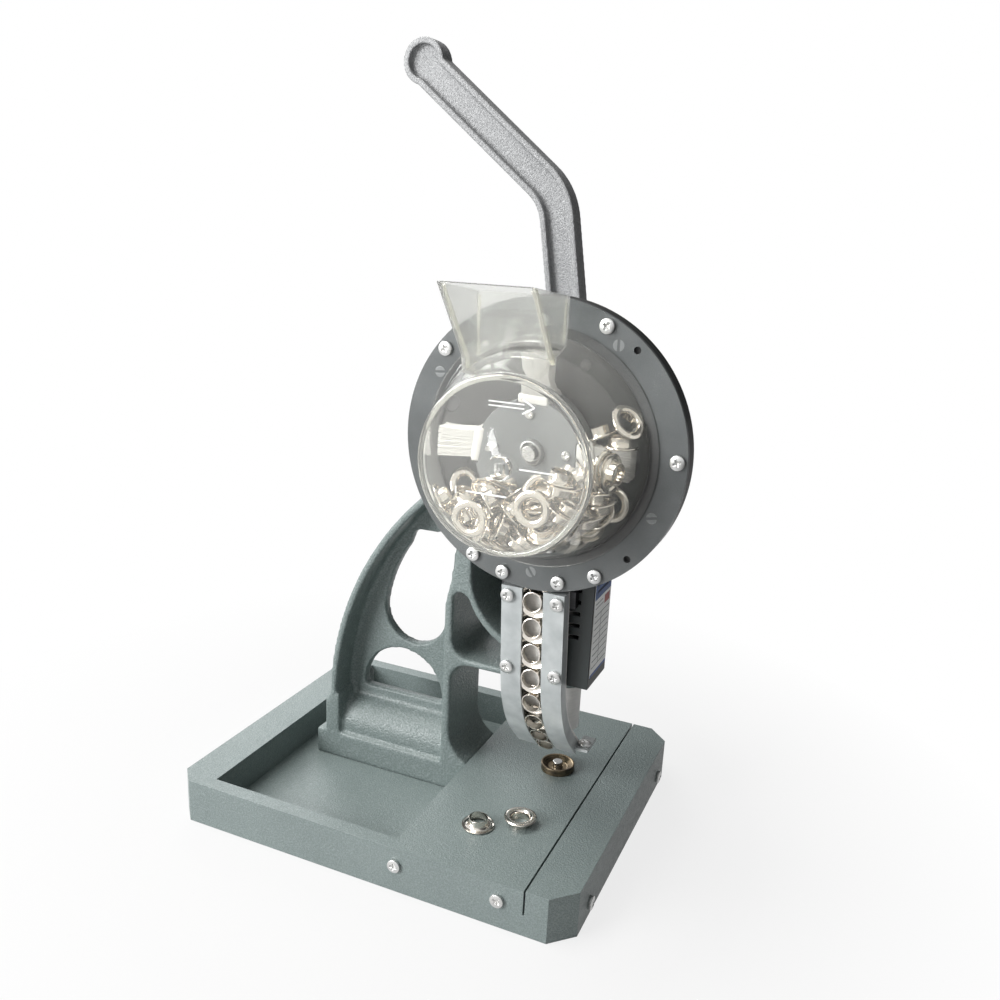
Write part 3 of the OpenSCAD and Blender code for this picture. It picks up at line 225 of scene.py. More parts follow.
mirrored = paper.sum("MULTIPLY", paper.rays("Glossy"),
                     paper.ramp(across, 0.0, DARK_REACH, 0.0, DARK_SHARE, "SMOOTHSTEP"))
floor_mesh.materials.append(paper.out(paper.mixed(
    mirrored, paper.mixed(white, sheet, paper.glow(1)), paper.glow(DARK_TONE))))

# ---- base ----
# A welded steel tray: bottom plate, two rails, end caps and a table plate, in grey green hammer
# paint whose skin has a fine grain, with every edge broken so that it catches the light.
record = frame["record"]
home = {node: body for body, nodes in record["behaviour"]["bodies"].items() for node in nodes}
NUMBER, PAINT = "NodeSocketFloat", "NodeSocketColor"
WELD, FLAT_WITHIN = 2e-6, math.radians(0.6)


def effect(name, inputs, outputs):
    """A shader node group with named inputs and outputs, its nodes, and what its inputs give."""
    group = bpy.data.node_groups.new(name, "ShaderNodeTree")
    for key, (kind, value) in inputs.items():
        group.interface.new_socket(key, in_out="INPUT", socket_type=kind).default_value = value
    for key, kind in outputs.items():
        group.interface.new_socket(key, in_out="OUTPUT", socket_type=kind)
    fill = Nodes(group, "NodeGroupOutput")
    return group, fill, fill.add("NodeGroupInput").outputs


# Hammer paint: cells of flowed paint with a fine grain between them, and broad uneven tone
hammer, fill, given = effect(
    "hammer_paint", {"Cells": (NUMBER, 900.0), "Grain": (NUMBER, 0.3), "Low": (PAINT, grey(0.2)),
                     "High": (PAINT, grey(0.4))},
    {"Color": PAINT, "Height": NUMBER, "Roughness": NUMBER})
place = fill.place()
cells = fill.add("ShaderNodeTexVoronoi", {"Vector": place, "Scale": given["Cells"],
                                          "Smoothness": 0.6}, feature="SMOOTH_F1")
specks = fill.noise(place, 2600.0, 2.0)
tone = fill.noise(place, 14.0, 3.0)
flow = fill.noise(place, 420.0, 3.0)
grain = fill.sum("MULTIPLY_ADD", specks, given["Grain"], cells.outputs["Distance"])
spread = fill.ramp(fill.sum("MULTIPLY_ADD", tone, 0.5, grain), 0.45, 1.25)
fill.give(Color=fill.tint(spread, given["Low"], given["High"]),
          Height=fill.sum("MULTIPLY_ADD", flow, 0.8, grain),
          Roughness=fill.ramp(flow, 0.3, 0.7, 0.3, 0.46))


def hammer_finish(name, low, high, cells, depth, metallic=0.0, grain=0.3):
    """Hammer paint between two tones: depth is how far its skin stands up, in metres."""
    shade = Shade(name)
    skin = shade.add("ShaderNodeGroup", {"Cells": cells, "Grain": grain, "Low": (*low, 1),
                                         "High": (*high, 1)}, node_tree=hammer).outputs
    return shade.out(shade.coat(skin["Color"], skin["Roughness"], skin["Height"], depth,
                                Metallic=metallic))


def merged_copy(node, name):
    """A copy of a CAD node as a mesh of its own, with shared corners and flat faces made whole."""
    mesh = frame["nodes"][node].data.copy()
    mesh.name = name
    mesh.materials.clear()
    work = bmesh.new()
    work.from_mesh(mesh)
    bmesh.ops.remove_doubles(work, verts=work.verts, dist=WELD)
    bmesh.ops.dissolve_limit(work, angle_limit=FLAT_WITHIN, verts=work.verts, edges=work.edges)
    work.to_mesh(mesh)
    work.free()
    return linked(name, mesh)


def add_on(piece, node, finish):
    """Puts a piece with that finish on the body of a CAD node."""
    piece.data.materials.append(finish)
    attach(piece, home[node])


def fit(piece, node, finish):
    """Puts a piece in the place of a CAD node, on the same body."""
    add_on(piece, node, finish)
    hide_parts(node)


def broken_edges(node, finish, width, segments=2, smooth=35):
    """The CAD node with its sharp edges rounded to that width, and its round faces smooth."""
    piece = merged_copy(node, node + "_part")
    bevel = piece.modifiers.new("edges", "BEVEL")
    bevel.width, bevel.segments = width, segments
    bevel.limit_method, bevel.angle_limit = "ANGLE", math.radians(smooth)
    bevel.harden_normals = True
    bevel.use_clamp_overlap = True
    piece.data.shade_smooth()
    piece.data.set_sharp_from_angle(angle=math.radians(smooth))
    fit(piece, node, finish)


tray_paint = hammer_finish("tray_paint", (0.128, 0.16, 0.157), (0.225, 0.268, 0.263), 1050.0,
                           0.00022)
for part, edge in (("base_plate", 0.0004), ("near_rail", 0.0009), ("far_rail", 0.0009),
                   ("rear_cap", 0.0009), ("front_cap", 0.001), ("table_plate", 0.0006)):
    broken_edges(part, tray_paint, edge, 3)

# ---- casting ----
# One grey iron casting, painted like the base: every corner and hollow is rounded by the mould,
# and the skin is a little coarser than the sheet's.
cast_paint = hammer_finish("cast_paint", (0.12, 0.153, 0.148), (0.22, 0.26, 0.255), 800.0, 0.0003)


def cast_skin(node, finish, voxel, rounds):
    """The CAD node as a casting: remeshed at that voxel, then smoothed, which rounds corners."""
    piece = merged_copy(node, node + "_part")
    remesh = piece.modifiers.new("skin", "REMESH")
    remesh.mode, remesh.voxel_size, remesh.use_smooth_shade = "VOXEL", voxel, True
    relax = piece.modifiers.new("round", "SMOOTH")
    relax.factor, relax.iterations = 0.5, rounds
    fit(piece, node, finish)


cast_skin("frame_casting", cast_paint, 0.0015, 4)
cast_skin("pinion_cover", cast_paint, 0.001, 3)

# ---- lever ----
# A cast aluminium lever with a raised rim round a recess on both faces, in silver hammer paint.
lever_paint = hammer_finish("lever_paint", (0.11, 0.113, 0.117), (0.3, 0.305, 0.31), 950.0,
                            0.00022, 0.1, 0.8)
cast_skin("lever", lever_paint, 0.00075, 2)

# ---- steel parts ----
# Shafts, bushes, bolts, gears and dies, turned or milled from bar: fine tool marks run across
# them, which a stretched noise gives, and their edges are lightly broken.
marks, fill, given = effect("tool_marks", {"Scale": (NUMBER, 60.0), "Stretch": (NUMBER, 40.0)},
                            {"Mask": NUMBER, "Height": NUMBER})
place = fill.place()
longer = fill.add("ShaderNodeCombineXYZ", {0: 1.0, 1: 1.0, 2: given["Stretch"]})
turned = fill.add("ShaderNodeVectorMath", {0: place, 1: longer.outputs[0]}, operation="MULTIPLY")
lines = fill.noise(turned.outputs[0], given["Scale"], 4.0)
patch = fill.noise(place, 90.0, 3.0)
fill.give(Mask=fill.sum("MULTIPLY_ADD", lines, 0.6, patch), Height=lines)


def metal_finish(name, low, high, rough=(0.2, 0.4), depth=0.00004, metallic=1.0, stretch=40.0):
    """Bare or plated metal between two tones, with tool marks in its gloss."""
    shade = Shade(name)
    skin = shade.add("ShaderNodeGroup", {"Stretch": stretch}, node_tree=marks).outputs
    ease = shade.ramp(skin["Mask"], 0.55, 1.05)
    return shade.out(shade.coat(shade.tint(ease, (*low, 1), (*high, 1)),
                                shade.ramp(ease, 0.0, 1.0, rough[1], rough[0]),
                                skin["Height"], depth, Metallic=metallic))


zinc = metal_finish("zinc_plate", (0.56, 0.57, 0.57), (0.8, 0.79, 0.77), (0.22, 0.42))
black_steel = metal_finish("black_steel", (0.05, 0.05, 0.052), (0.11, 0.11, 0.115), (0.35, 0.55))
bronze = metal_finish("bronze", (0.42, 0.27, 0.1), (0.6, 0.42, 0.2), (0.3, 0.5))
ground_steel = metal_finish("ground_steel", (0.5, 0.5, 0.5), (0.68, 0.67, 0.65), (0.16, 0.34))
dull_steel = metal_finish("dull_steel", (0.7, 0.7, 0.68), (0.85, 0.84, 0.82), (0.4, 0.6),
                          metallic=0.1)
for part, finish in (("foot_bolts", black_steel), ("ram_bushes", bronze), ("shaft_bushes", bronze),
                     ("die_anvil", black_steel), ("feeder_spacers", zinc),
                     ("feeder_bolts", black_steel), ("feeder_bushes", bronze),
                     ("lever_shaft", ground_steel), ("pinion", black_steel), ("lever_nut", zinc),
                     ("ram", ground_steel), ("ram_collar", black_steel), ("punch", dull_steel),
                     ("feeder_shaft", ground_steel), ("worm_wheel", bronze),
                     ("motor_shaft", ground_steel), ("worm", black_steel), ("motor_can", zinc),
                     ("punch_holder", dull_steel), ("chute_hanger", black_steel)):
    broken_edges(part, finish, 0.0003, 2)

# ---- springs ----
# The ram's return spring and the pilot's spring: round wire wound in a helix, with the end turns
# close together, and an oiled surface.
spring_wire = metal_finish("spring_wire", (0.3, 0.3, 0.31), (0.45, 0.45, 0.46), (0.25, 0.45))
POINTS_A_TURN = 28


def grid_mesh(name, grids):
    """One mesh of several grids of points, each (points[u, v, 3], wraps round u, wraps round v).

    Doubles are merged, which closes seams and poles, and the normals are turned outwards."""
    points, faces, start = [], [], 0
    for grid, wrap_u, wrap_v in grids:
        n, m = grid.shape[:2]
        u, v = np.meshgrid(np.arange(n if wrap_u else n - 1), np.arange(m if wrap_v else m - 1),
                           indexing="ij")
        u2, v2 = (u + 1) % n, (v + 1) % m
        quads = np.stack([u * m + v, u2 * m + v, u2 * m + v2, u * m + v2], -1).reshape(-1, 4)
        points.append(grid.reshape(-1, 3))
        faces.append(quads + start)
        start += n * m
    mesh = bpy.data.meshes.new(name)
    mesh.from_pydata(np.concatenate(points), [], np.concatenate(faces))
    work = bmesh.new()
    work.from_mesh(mesh)
    bmesh.ops.remove_doubles(work, verts=work.verts, dist=1e-6)
    bmesh.ops.dissolve_degenerate(work, edges=work.edges, dist=1e-7)
    bmesh.ops.recalc_face_normals(work, faces=work.faces)
    work.to_mesh(mesh)
    work.free()
    return mesh


def made(name, grids, smooth=40):
    """A new piece from grids of points, smooth but for edges sharper than that angle."""
    mesh = grid_mesh(name, grids)
    mesh.shade_smooth()
    mesh.set_sharp_from_angle(angle=math.radians(smooth))
    return linked(name, mesh)


def round_angles(count):
    """That many angles, evenly once round."""
    return np.linspace(0, 2 * np.pi, count, endpoint=False)


def shut(rings):
    """A bar's rings with one more at each end, drawn in to its middle, which closes the bar."""
    rings = np.asarray(rings)
    ends = [np.repeat(rings[i].mean(0)[None, None], rings.shape[1], 1) for i in (0, -1)]
    return np.concatenate([ends[0], rings, ends[1]]), False, True


def tube(path, radius, sides=12):
    """A round bar along a path: rings of points in the plane square to each step, shut ends."""
    ahead = np.gradient(path, axis=0)
    ahead /= np.linalg.norm(ahead, axis=1)[:, None]
    side = np.cross(ahead, (0, 0, 1.0))
    side /= np.linalg.norm(side, axis=1)[:, None]
    over = np.cross(side, ahead)
    turn = round_angles(sides)[None, :, None]
    return shut(path[:, None] + radius * (np.cos(turn) * side[:, None]
                                          + np.sin(turn) * over[:, None]))


def helix(node, wire, turns, dead=1.2, gap=0.0006):
    """The middle line of a spring that fills the CAD node's box: a circle that rises with the
    turns, by little more than the wire over the dead end turns, and evenly between them."""
    lo, hi = (np.array(c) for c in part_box(node))
    t = np.linspace(0, turns, int(turns * POINTS_A_TURN) + 1)
    rise, close = hi[2] - lo[2] - wire, wire + gap
    z = np.where(t < dead, t * close, np.where(
        t > turns - dead, rise - (turns - t) * close,
        dead * close + (t - dead) * (rise - 2 * dead * close) / (turns - 2 * dead)))
    radius = (hi[0] - lo[0] - wire) / 2
    mid = (lo + hi) / 2
    return np.stack([mid[0] + radius * np.cos(2 * np.pi * t),
                     mid[1] + radius * np.sin(2 * np.pi * t), lo[2] + wire / 2 + z], -1)


for part, wire, turns, joint, travel in (("ram_spring", 0.0026, 11, "ram_stroke", 0.0236),
                                         ("die_spring", 0.0009, 5, "pilot_press", 0.005)):
    spring = made(part + "_part", [tube(helix(part, wire, turns), wire / 2)])
    fit(spring, part, spring_wire)
    lo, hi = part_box(part)
    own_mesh(spring)

# ---- screws ----
# Zinc plated pan head screws with a cross recess: one turned head and shank, pressed in by a
# cross shaped dent, and set at each of the places that the CAD model's screws have.
HEAD_R, HEAD_H, SHANK_R = 0.0042, 0.0026, 0.002
CROSS_HALF, CROSS_LONG, CROSS_DEEP, CROSS_SOFT = 0.00055, 0.0021, 0.0015, 0.00022
CROSS_ABOVE, CROSS_SLOPE = 0.0005, 0.45


def carried_round(profile, sides):
    """A profile of (radius, height) pairs carried round +Z."""
    turn = round_angles(sides)[:, None]
    return np.stack([profile[None, :, 0] * np.cos(turn), profile[None, :, 0] * np.sin(turn),
                     np.repeat(profile[None, :, 1], sides, 0)], -1)


def pan_screw(length, head_r=HEAD_R):
    """A screw along +Z with its seat at the origin: radius and height along a profile carried
    round, then lowered by the cross, the product of two soft steps over width and length."""
    k = np.linspace(0, 1, 18)
    dome_r = head_r * np.sin(k * np.pi / 2) ** 0.85
    dome_z = HEAD_H * (0.62 + 0.38 * np.sqrt(np.clip(1 - (dome_r / head_r) ** 2 * 0.9, 0, 1)))
    side = np.array([(head_r, HEAD_H * 0.5), (head_r * 0.985, 0.0002), (head_r * 0.95, 0),
                     (SHANK_R, 0), (SHANK_R, -length + 0.001), (SHANK_R * 0.6, -length),
                     (0, -length)])
    x, y, z = np.moveaxis(carried_round(
        np.concatenate([np.stack([dome_r, dome_z], -1), side]), 56), -1, 0)

    def inside(half, d):
        """1 within half of the middle line, falling softly to 0 beyond it."""
        return np.clip((half - abs(d) + CROSS_SOFT / 2) / CROSS_SOFT, 0, 1)

    bars = np.maximum(inside(CROSS_HALF, y) * inside(CROSS_LONG, x),
                      inside(CROSS_HALF, x) * inside(CROSS_LONG, y))
    slope = 1 - CROSS_SLOPE * np.hypot(x, y) / CROSS_LONG
    z = z - np.where(z > CROSS_ABOVE, CROSS_DEEP * slope * bars, 0)
    return np.stack([x, y, z], -1)


def set_at(grid, place, axis, spin=0.0):
    """The grid's points turned so that +Z runs along axis, and moved to place."""
    turned = Vector((0, 0, 1)).rotation_difference(Vector(axis)).to_matrix()
    turned = turned @ Matrix.Rotation(spin, 3, "Z")
    return grid @ np.array(turned).T + np.array(place), True, False


def islands(node):
    """The separate solids of a CAD node: the lowest and highest corner of each."""
    work = bmesh.new()
    work.from_mesh(frame["nodes"][node].data)
    bmesh.ops.remove_doubles(work, verts=work.verts, dist=WELD)
    left, found = set(work.verts), []
    while left:
        reached, edge = set(), [left.pop()]
        while edge:
            v = edge.pop()
            reached.add(v)
            near = {e.other_vert(v) for e in v.link_edges} & left
            left -= near
            edge += near
        co = np.array([v.co for v in reached])
        found.append((co.min(0), co.max(0)))
    work.free()
    return sorted(found, key=lambda b: tuple(np.round(b[0], 4)))


def screws_like(node, axis_of):
    """Pan screws in the places of the node's solids: axis_of gives a box's outward direction."""
    grids = []
    for number, (lo, hi) in enumerate(islands(node)):
        axis = np.array(axis_of(lo, hi), float)
        reach = abs(axis) @ (hi - lo) / 2
        seat = (lo + hi) / 2 + axis * (reach - HEAD_H)
        grids.append(set_at(pan_screw(2 * reach - HEAD_H), seat, axis, 0.5 + 1.3 * number))
    return made(node + "_part", grids, 50)


def base_way(lo, hi):
    """Outwards along the screw's longest side: down where that is upright."""
    size = hi - lo
    long = int(size.argmax())
    if long == 2:
        return (0, 0, -1)
    return [np.sign(lo[i] + hi[i]) if i == long else 0 for i in range(3)]


fit(screws_like("base_screws", base_way), "base_screws", zinc)
fit(screws_like("plate_screws", lambda lo, hi: (0, -1, 0)), "plate_screws", zinc)

# ---- table die ----
# The lower die under the punch: ground steel whose tone runs along its tool marks between near
# black and brass, and the bright nose of its spring pilot in the middle.
die_steel = metal_finish("die_steel", (0.05, 0.042, 0.035), (0.36, 0.28, 0.18), (0.22, 0.4))
broken_edges("lower_die", die_steel, 0.0005, 3)
broken_edges("die_pilot", ground_steel, 0.0008, 3)


# ---- feeder plates ----
# A black plastic back plate and a dark grey ring plate on it, cut from sheet: smooth faces with a
# faint cloudy tone, a bright broken rim on the ring, and five flush slotted plugs in it.
def sheet_finish(name, low, high, rough, depth=0.00002):
    """Smooth sheet or moulding: a cloudy tone, fine dust specks in its gloss, and a faint skin."""
    shade = Shade(name)
    place = shade.place()
    fine = shade.noise(place, 1500.0, 2.0)
    both = shade.sum("MULTIPLY_ADD", fine, 0.35, shade.noise(place, 26.0, 5.0))
    return shade.out(shade.coat(shade.tint(shade.ramp(both, 0.45, 0.9), (*low, 1), (*high, 1)),
                                shade.ramp(both, 0.4, 1.0, *rough), fine, depth))


black_sheet = sheet_finish("black_sheet", (0.008, 0.009, 0.009), (0.02, 0.021, 0.021),
                           (0.3, 0.45))
ring_sheet = sheet_finish("ring_sheet", (0.085, 0.092, 0.093), (0.14, 0.149, 0.15), (0.2, 0.3))
plug_steel = sheet_finish("plug_steel", (0.16, 0.17, 0.17), (0.26, 0.27, 0.27), (0.25, 0.35))
broken_edges("back_plate", black_sheet, 0.0005, 2)
broken_edges("ring_plate", ring_sheet, 0.0005, 3)
lo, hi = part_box("ring_plate")
AX, AZ, RING_Y = (lo.x + hi.x) / 2, (lo.z + hi.z) / 2, lo.y
PLUG_CIRCLE, PLUG_R, PLUG_PROUD, PLUG_DEEP = 0.0752, 0.0034, 0.00005, 0.0008
SLOT_DEEP, SLOT_HALF, SLOT_SOFT, SLOT_TILT = 0.0006, 0.00065, 0.0002, 0.6


def lathe(profile, centre, segments=96):
    """A profile of (radius, depth towards +Y) pairs carried round the line along Y by centre."""
    grid = carried_round(np.array(profile, float), segments)
    return grid[..., [0, 2, 1]] + np.array(centre), True, False


def slotted(a):
    """A flush plug at that angle of the ring, with its middle dipped along a slot."""
    grid, _, _ = lathe([(0, -PLUG_PROUD), (PLUG_R * 0.93, -PLUG_PROUD), (PLUG_R, 0.0001),
                        (PLUG_R, PLUG_DEEP), (0, PLUG_DEEP)], (0, 0, 0), 60)
    rows = [grid[:, :1] * (1 - k) + grid[:, 1:2] * k for k in np.linspace(0, 1, 9)]
    grid = np.concatenate([*rows, grid[:, 2:]], 1)
    tilt = a + SLOT_TILT
    off = abs(grid[..., 0] * math.sin(tilt) - grid[..., 2] * math.cos(tilt))
    dip = SLOT_DEEP * np.clip((SLOT_HALF - off) / SLOT_SOFT, 0, 1)
    grid[..., 1] += np.where(grid[..., 1] < PLUG_PROUD, dip, 0)
    grid += (AX + PLUG_CIRCLE * math.cos(a), RING_Y, AZ + PLUG_CIRCLE * math.sin(a))
    return grid, True, False


add_on(made("ring_plugs", [slotted(a) for a in np.radians((56, -24, -90.7, 150, -160))]),
       "ring_plate", plug_steel)


# ---- drum ----
# A clear plastic cone on a flange, with a lipped clear front and a small square socket boss: sheet
# and moulding with a slight haze and fine scratches, so that the far wall shows through as grey.
def clear_finish(name, tint, clear, rough, scratches):
    """Clear plastic that lets the lamps' light through: clear is the share that isn't hazy."""
    shade = Shade(name)
    place = shade.place()
    cloud = shade.noise(place, 45.0, 5.0, Distortion=1.5)
    fine = shade.noise(place, 700.0, 2.0)
    body = shade.coat((*tint, 1), shade.ramp(cloud, 0.35, 0.7, *rough), fine, scratches,
                      **{"IOR": 1.47, "Transmission Weight": clear})
    hole = shade.add("ShaderNodeBsdfTransparent", {"Color": grey(0.93)}).outputs[0]
    return shade.out(shade.mixed(shade.rays("Shadow"), body, hole))


clear_plastic = clear_finish("clear_plastic", (0.93, 0.93, 0.9), 0.94, (0.02, 0.07), 0.000008)
WALL, R_BACK, R_FRONT, Y_BACK, Y_FRONT = 0.0022, 0.066, 0.049, -0.048, -0.1
OPENING = (0.046, -0.071, 0.294), (0.096, -0.06, 0.36)


def cone_r(y):
    """Outer radius of the drum's cone at that y."""
    return R_BACK + (R_FRONT - R_BACK) * (Y_BACK - y) / (Y_BACK - Y_FRONT)


def cut_box(piece, lo, hi):
    """Cuts a box out of the piece for good."""
    corners = [(x, y, z) for x in (lo[0], hi[0]) for y in (lo[1], hi[1]) for z in (lo[2], hi[2])]
    faces = [(0, 1, 3, 2), (4, 6, 7, 5), (0, 4, 5, 1), (2, 3, 7, 6), (0, 2, 6, 4), (1, 5, 7, 3)]
    mesh = bpy.data.meshes.new("cutter")
    mesh.from_pydata(corners, [], faces)
    cutter = linked("cutter", mesh)
    cut = piece.modifiers.new("cut", "BOOLEAN")
    cut.operation, cut.object, cut.solver = "DIFFERENCE", cutter, "EXACT"
    view = bpy.context.evaluated_depsgraph_get()
    result = bpy.data.meshes.new_from_object(piece.evaluated_get(view))
    piece.modifiers.clear()
    piece.data = result
    bpy.data.objects.remove(cutter)
    result.shade_smooth()
    result.set_sharp_from_angle(angle=math.radians(35))


inner = [(cone_r(y) - WALL, y) for y in np.linspace(Y_BACK, Y_FRONT, 9)][::-1]
flange = [(0.07, Y_BACK), (0.0705, -0.0484), (0.0705, -0.0496), (0.0701, -0.05), (0.0666, -0.05),
          (0.0655, -0.0503), (0.0649, -0.051), (0.0646, -0.0519)]
outer = [(cone_r(y), y) for y in np.linspace(-0.0528, -0.0978, 8)]
lip = [(0.0496, -0.099), (0.0491, -0.0997), (0.0485, -0.1)]
drum = made("drum_part", [lathe(inner + flange + outer + lip + inner[:1], (AX, 0, AZ), 200)], 50)
cut_box(drum, *OPENING)
fit(drum, "drum", clear_plastic)

SOCKET, FRONT_SIDES, SOCKET_ROWS = 0.0025, 192, slice(14, 16)
front_profile = [(0, -0.1), (0.0483, -0.1), (0.0487, -0.1006), (0.0488, -0.103), (0.0484, -0.104),
                 (0.0476, -0.1043), (0.0466, -0.1042), (0.0459, -0.1037), (0.0456, -0.103),
                 (0.0076, -0.103), (0.0068, -0.1033), (0.0066, -0.104), (0.0065, -0.1054),
                 (0.0059, -0.106), (SOCKET, -0.106), (SOCKET, -0.1012), (0, -0.1012)]
front_grid, _, _ = lathe(front_profile, (AX, 0, AZ), FRONT_SIDES)
turn = round_angles(FRONT_SIDES)
square = 1 / np.maximum(abs(np.cos(turn)), abs(np.sin(turn)))
front_grid[:, SOCKET_ROWS, 0] = AX + SOCKET * (square * np.cos(turn))[:, None]
front_grid[:, SOCKET_ROWS, 2] = AZ + SOCKET * (square * np.sin(turn))[:, None]
fit(made("drum_front_part", [(front_grid, True, False)]), "drum_front", clear_plastic)

# Fill marks on the front: an arrow for the way the brushes turn, and two level lines
ink = sheet_finish("white_ink", (0.78, 0.78, 0.77), (0.88, 0.88, 0.87), (0.5, 0.6))
INK_Y, INK_T, INK_W = -0.10306, 0.00008, 0.0009


def stroke(a, b, width=INK_W):
    """A flat painted bar on the drum's front from a to b, given as (x, z) from its middle."""
    a, b = np.array(a, float), np.array(b, float)
    along = (b - a) / np.linalg.norm(b - a)
    off = np.array((-along[1], along[0])) * width / 2
    flat = np.array([a - off, b - off, b + off, a + off])
    return shut([np.column_stack([flat[:, 0] + AX, np.full(4, y), flat[:, 1] + AZ])
                 for y in (INK_Y, INK_Y + INK_T)])


add_on(made("fill_marks", [
    stroke((-0.0085, 0.0345), (0.0115, 0.0345), 0.0007),
    stroke((-0.0085, 0.0323), (0.0115, 0.0323), 0.0007),
    stroke((0.0105, 0.0372), (0.0172, 0.0334)), stroke((0.0105, 0.0296), (0.0172, 0.0334)),
    stroke((-0.0195, -0.0155), (0.004, -0.0155)), stroke((0.0105, 0.0005), (0.031, 0.0005)),
    stroke((-0.0255, -0.0135), (-0.0255, -0.0175), 0.0008)], 30), "drum_front", ink)

# ---- funnel ----
# Four panels of hazy clear sheet glued on the drum round its opening; each panel's lower edge
# follows the cone, and beads of yellowish glue run down the corners.
funnel_plastic = clear_finish("funnel_plastic", (0.8, 0.805, 0.785), 0.9, (0.03, 0.12), 0.000015)
glue = clear_finish("glue", (0.8, 0.79, 0.7), 0.75, (0.12, 0.25), 0.00004)
SHEET, COLUMNS = 0.002, 24
F_LEFT, F_RIGHT, F_REAR, F_FOOT, F_NEAR = 0.044, 0.098, -0.058, -0.075, -0.108
FOOT_Z, NEAR_Z, REAR_Z = AZ + 0.051, AZ + 0.093, AZ + 0.087


def on_cone(x, y):
    """Height of the drum's surface over that place."""
    return AZ + np.sqrt(np.maximum(cone_r(y) ** 2 - (x - AX) ** 2, 0.012 ** 2))


def near_y(z):
    """The sloping near panel's outer face at that height."""
    return F_FOOT + (F_NEAR - F_FOOT) * np.clip((z - FOOT_Z) / (NEAR_Z - FOOT_Z), 0, 1)


def top_z(y):
    """Height of the funnel's rim at that y."""
    return REAR_Z + (NEAR_Z - REAR_Z) * (F_REAR - y) / (F_REAR - F_NEAR)


def panel(outer, inner, levels=10):
    """A sheet between two faces, each an array of [column, (low, high), xyz]."""
    k = np.linspace(0, 1, levels)[None, :, None]
    outside, inside = (face[:, 0][:, None] * (1 - k) + face[:, 1][:, None] * k
                       for face in (outer, inner))
    return shut(np.concatenate([outside, inside[:, ::-1]], 1))


def face(x, y_low, z_low, y_high, z_high):
    """A panel's face from its lower to its upper edge, where numbers stand for level lines."""
    low, high = (np.column_stack(np.broadcast_arrays(x, y, z))
                 for y, z in ((y_low, z_low), (y_high, z_high)))
    return np.stack([low, high], 1)


def rear_face(y):
    """The upright rear face at that y, on the cone."""
    x = np.linspace(F_LEFT, F_RIGHT, COLUMNS)
    return face(x, y, on_cone(x, y), y, top_z(y))


def near_face(inset):
    """The sloping near face, inset that far: its foot is found where slope and cone meet."""
    x = np.linspace(F_LEFT + SHEET, F_RIGHT - SHEET, COLUMNS)
    z = np.full(COLUMNS, AZ + 0.05)
    for _ in range(12):
        z = on_cone(x, near_y(z) + inset)
    return face(x, near_y(z) + inset, z, F_NEAR + inset, NEAR_Z)


def side_face(x):
    """A side face at that x: its lower edge follows the cone, then the near panel's slope."""
    y = np.linspace(F_REAR - SHEET, F_NEAR + 0.0006, 30)
    slope = FOOT_Z + (NEAR_Z - FOOT_Z) * (F_FOOT - y) / (F_FOOT - F_NEAR)
    low = np.where(y > F_FOOT, on_cone(x, y), np.maximum(slope, on_cone(x, y)))
    return face(x, y, np.minimum(low, top_z(y) - 0.0003), y, top_z(y))


fit(made("funnel_part", [panel(rear_face(F_REAR), rear_face(F_REAR - SHEET)),
                         panel(near_face(0.0), near_face(SHEET * 1.2)),
                         panel(side_face(F_LEFT), side_face(F_LEFT + SHEET)),
                         panel(side_face(F_RIGHT), side_face(F_RIGHT - SHEET))], 30),
    "funnel", funnel_plastic)


def bead(points, radius):
    """A round bead of glue through those points."""
    points = np.array(points, float)
    t = np.linspace(0, len(points) - 1, 10 * len(points))
    path = np.stack([np.interp(t, np.arange(len(points)), points[:, i]) for i in range(3)], -1)
    return tube(path + 1e-5 * np.arange(len(path))[:, None], radius, 10)


beads = []
for x, way_in in ((F_LEFT, 1), (F_RIGHT, -1)):
    wall = side_face(x + way_in * SHEET)
    z_low = wall[np.abs(wall[:, 0, 1] - F_FOOT).argmin(), 0, 2]
    near_x, rear_x = x + way_in * 0.0022, x + way_in * 0.0024
    beads.append(bead([(near_x, near_y(z_low) + 0.0022, z_low + 0.001),
                       (near_x, F_FOOT + 0.0022, FOOT_Z),
                       (near_x, F_NEAR + 0.003, NEAR_Z - 0.0016)], 0.0012))
    beads.append(bead([(rear_x, F_REAR - 0.0024, on_cone(x, F_REAR) + 0.002),
                       (rear_x, F_REAR - 0.0024, REAR_Z - 0.002)], 0.0009))
add_on(made("funnel_glue", beads, 60), "funnel", glue)

# ---- brush rotor ----
# A grey hub disc with a screwed middle and four small screws, and four white blocks that each hold
# a dense field of nylon bristles, flared a little and cut to the same length.
hub_grey = sheet_finish("hub_grey", (0.1, 0.107, 0.11), (0.15, 0.158, 0.16), (0.3, 0.45))
broken_edges("brush_hub", hub_grey, 0.0006, 3)
nylon = sheet_finish("nylon", (0.46, 0.45, 0.43), (0.6, 0.595, 0.575), (0.35, 0.5))
HUB_FRONT, BLOCK_LOW, BLOCK_TOP, REACH = -0.063, 0.027, 0.0325, 0.058
BRUSH_HALF, FIELD_HALF, SUNK, BRISTLE_R = 0.009, 0.0068, 0.0005, 0.00024
HUB_SCREW_CIRCLE = 0.0212
rng = np.random.default_rng(3)


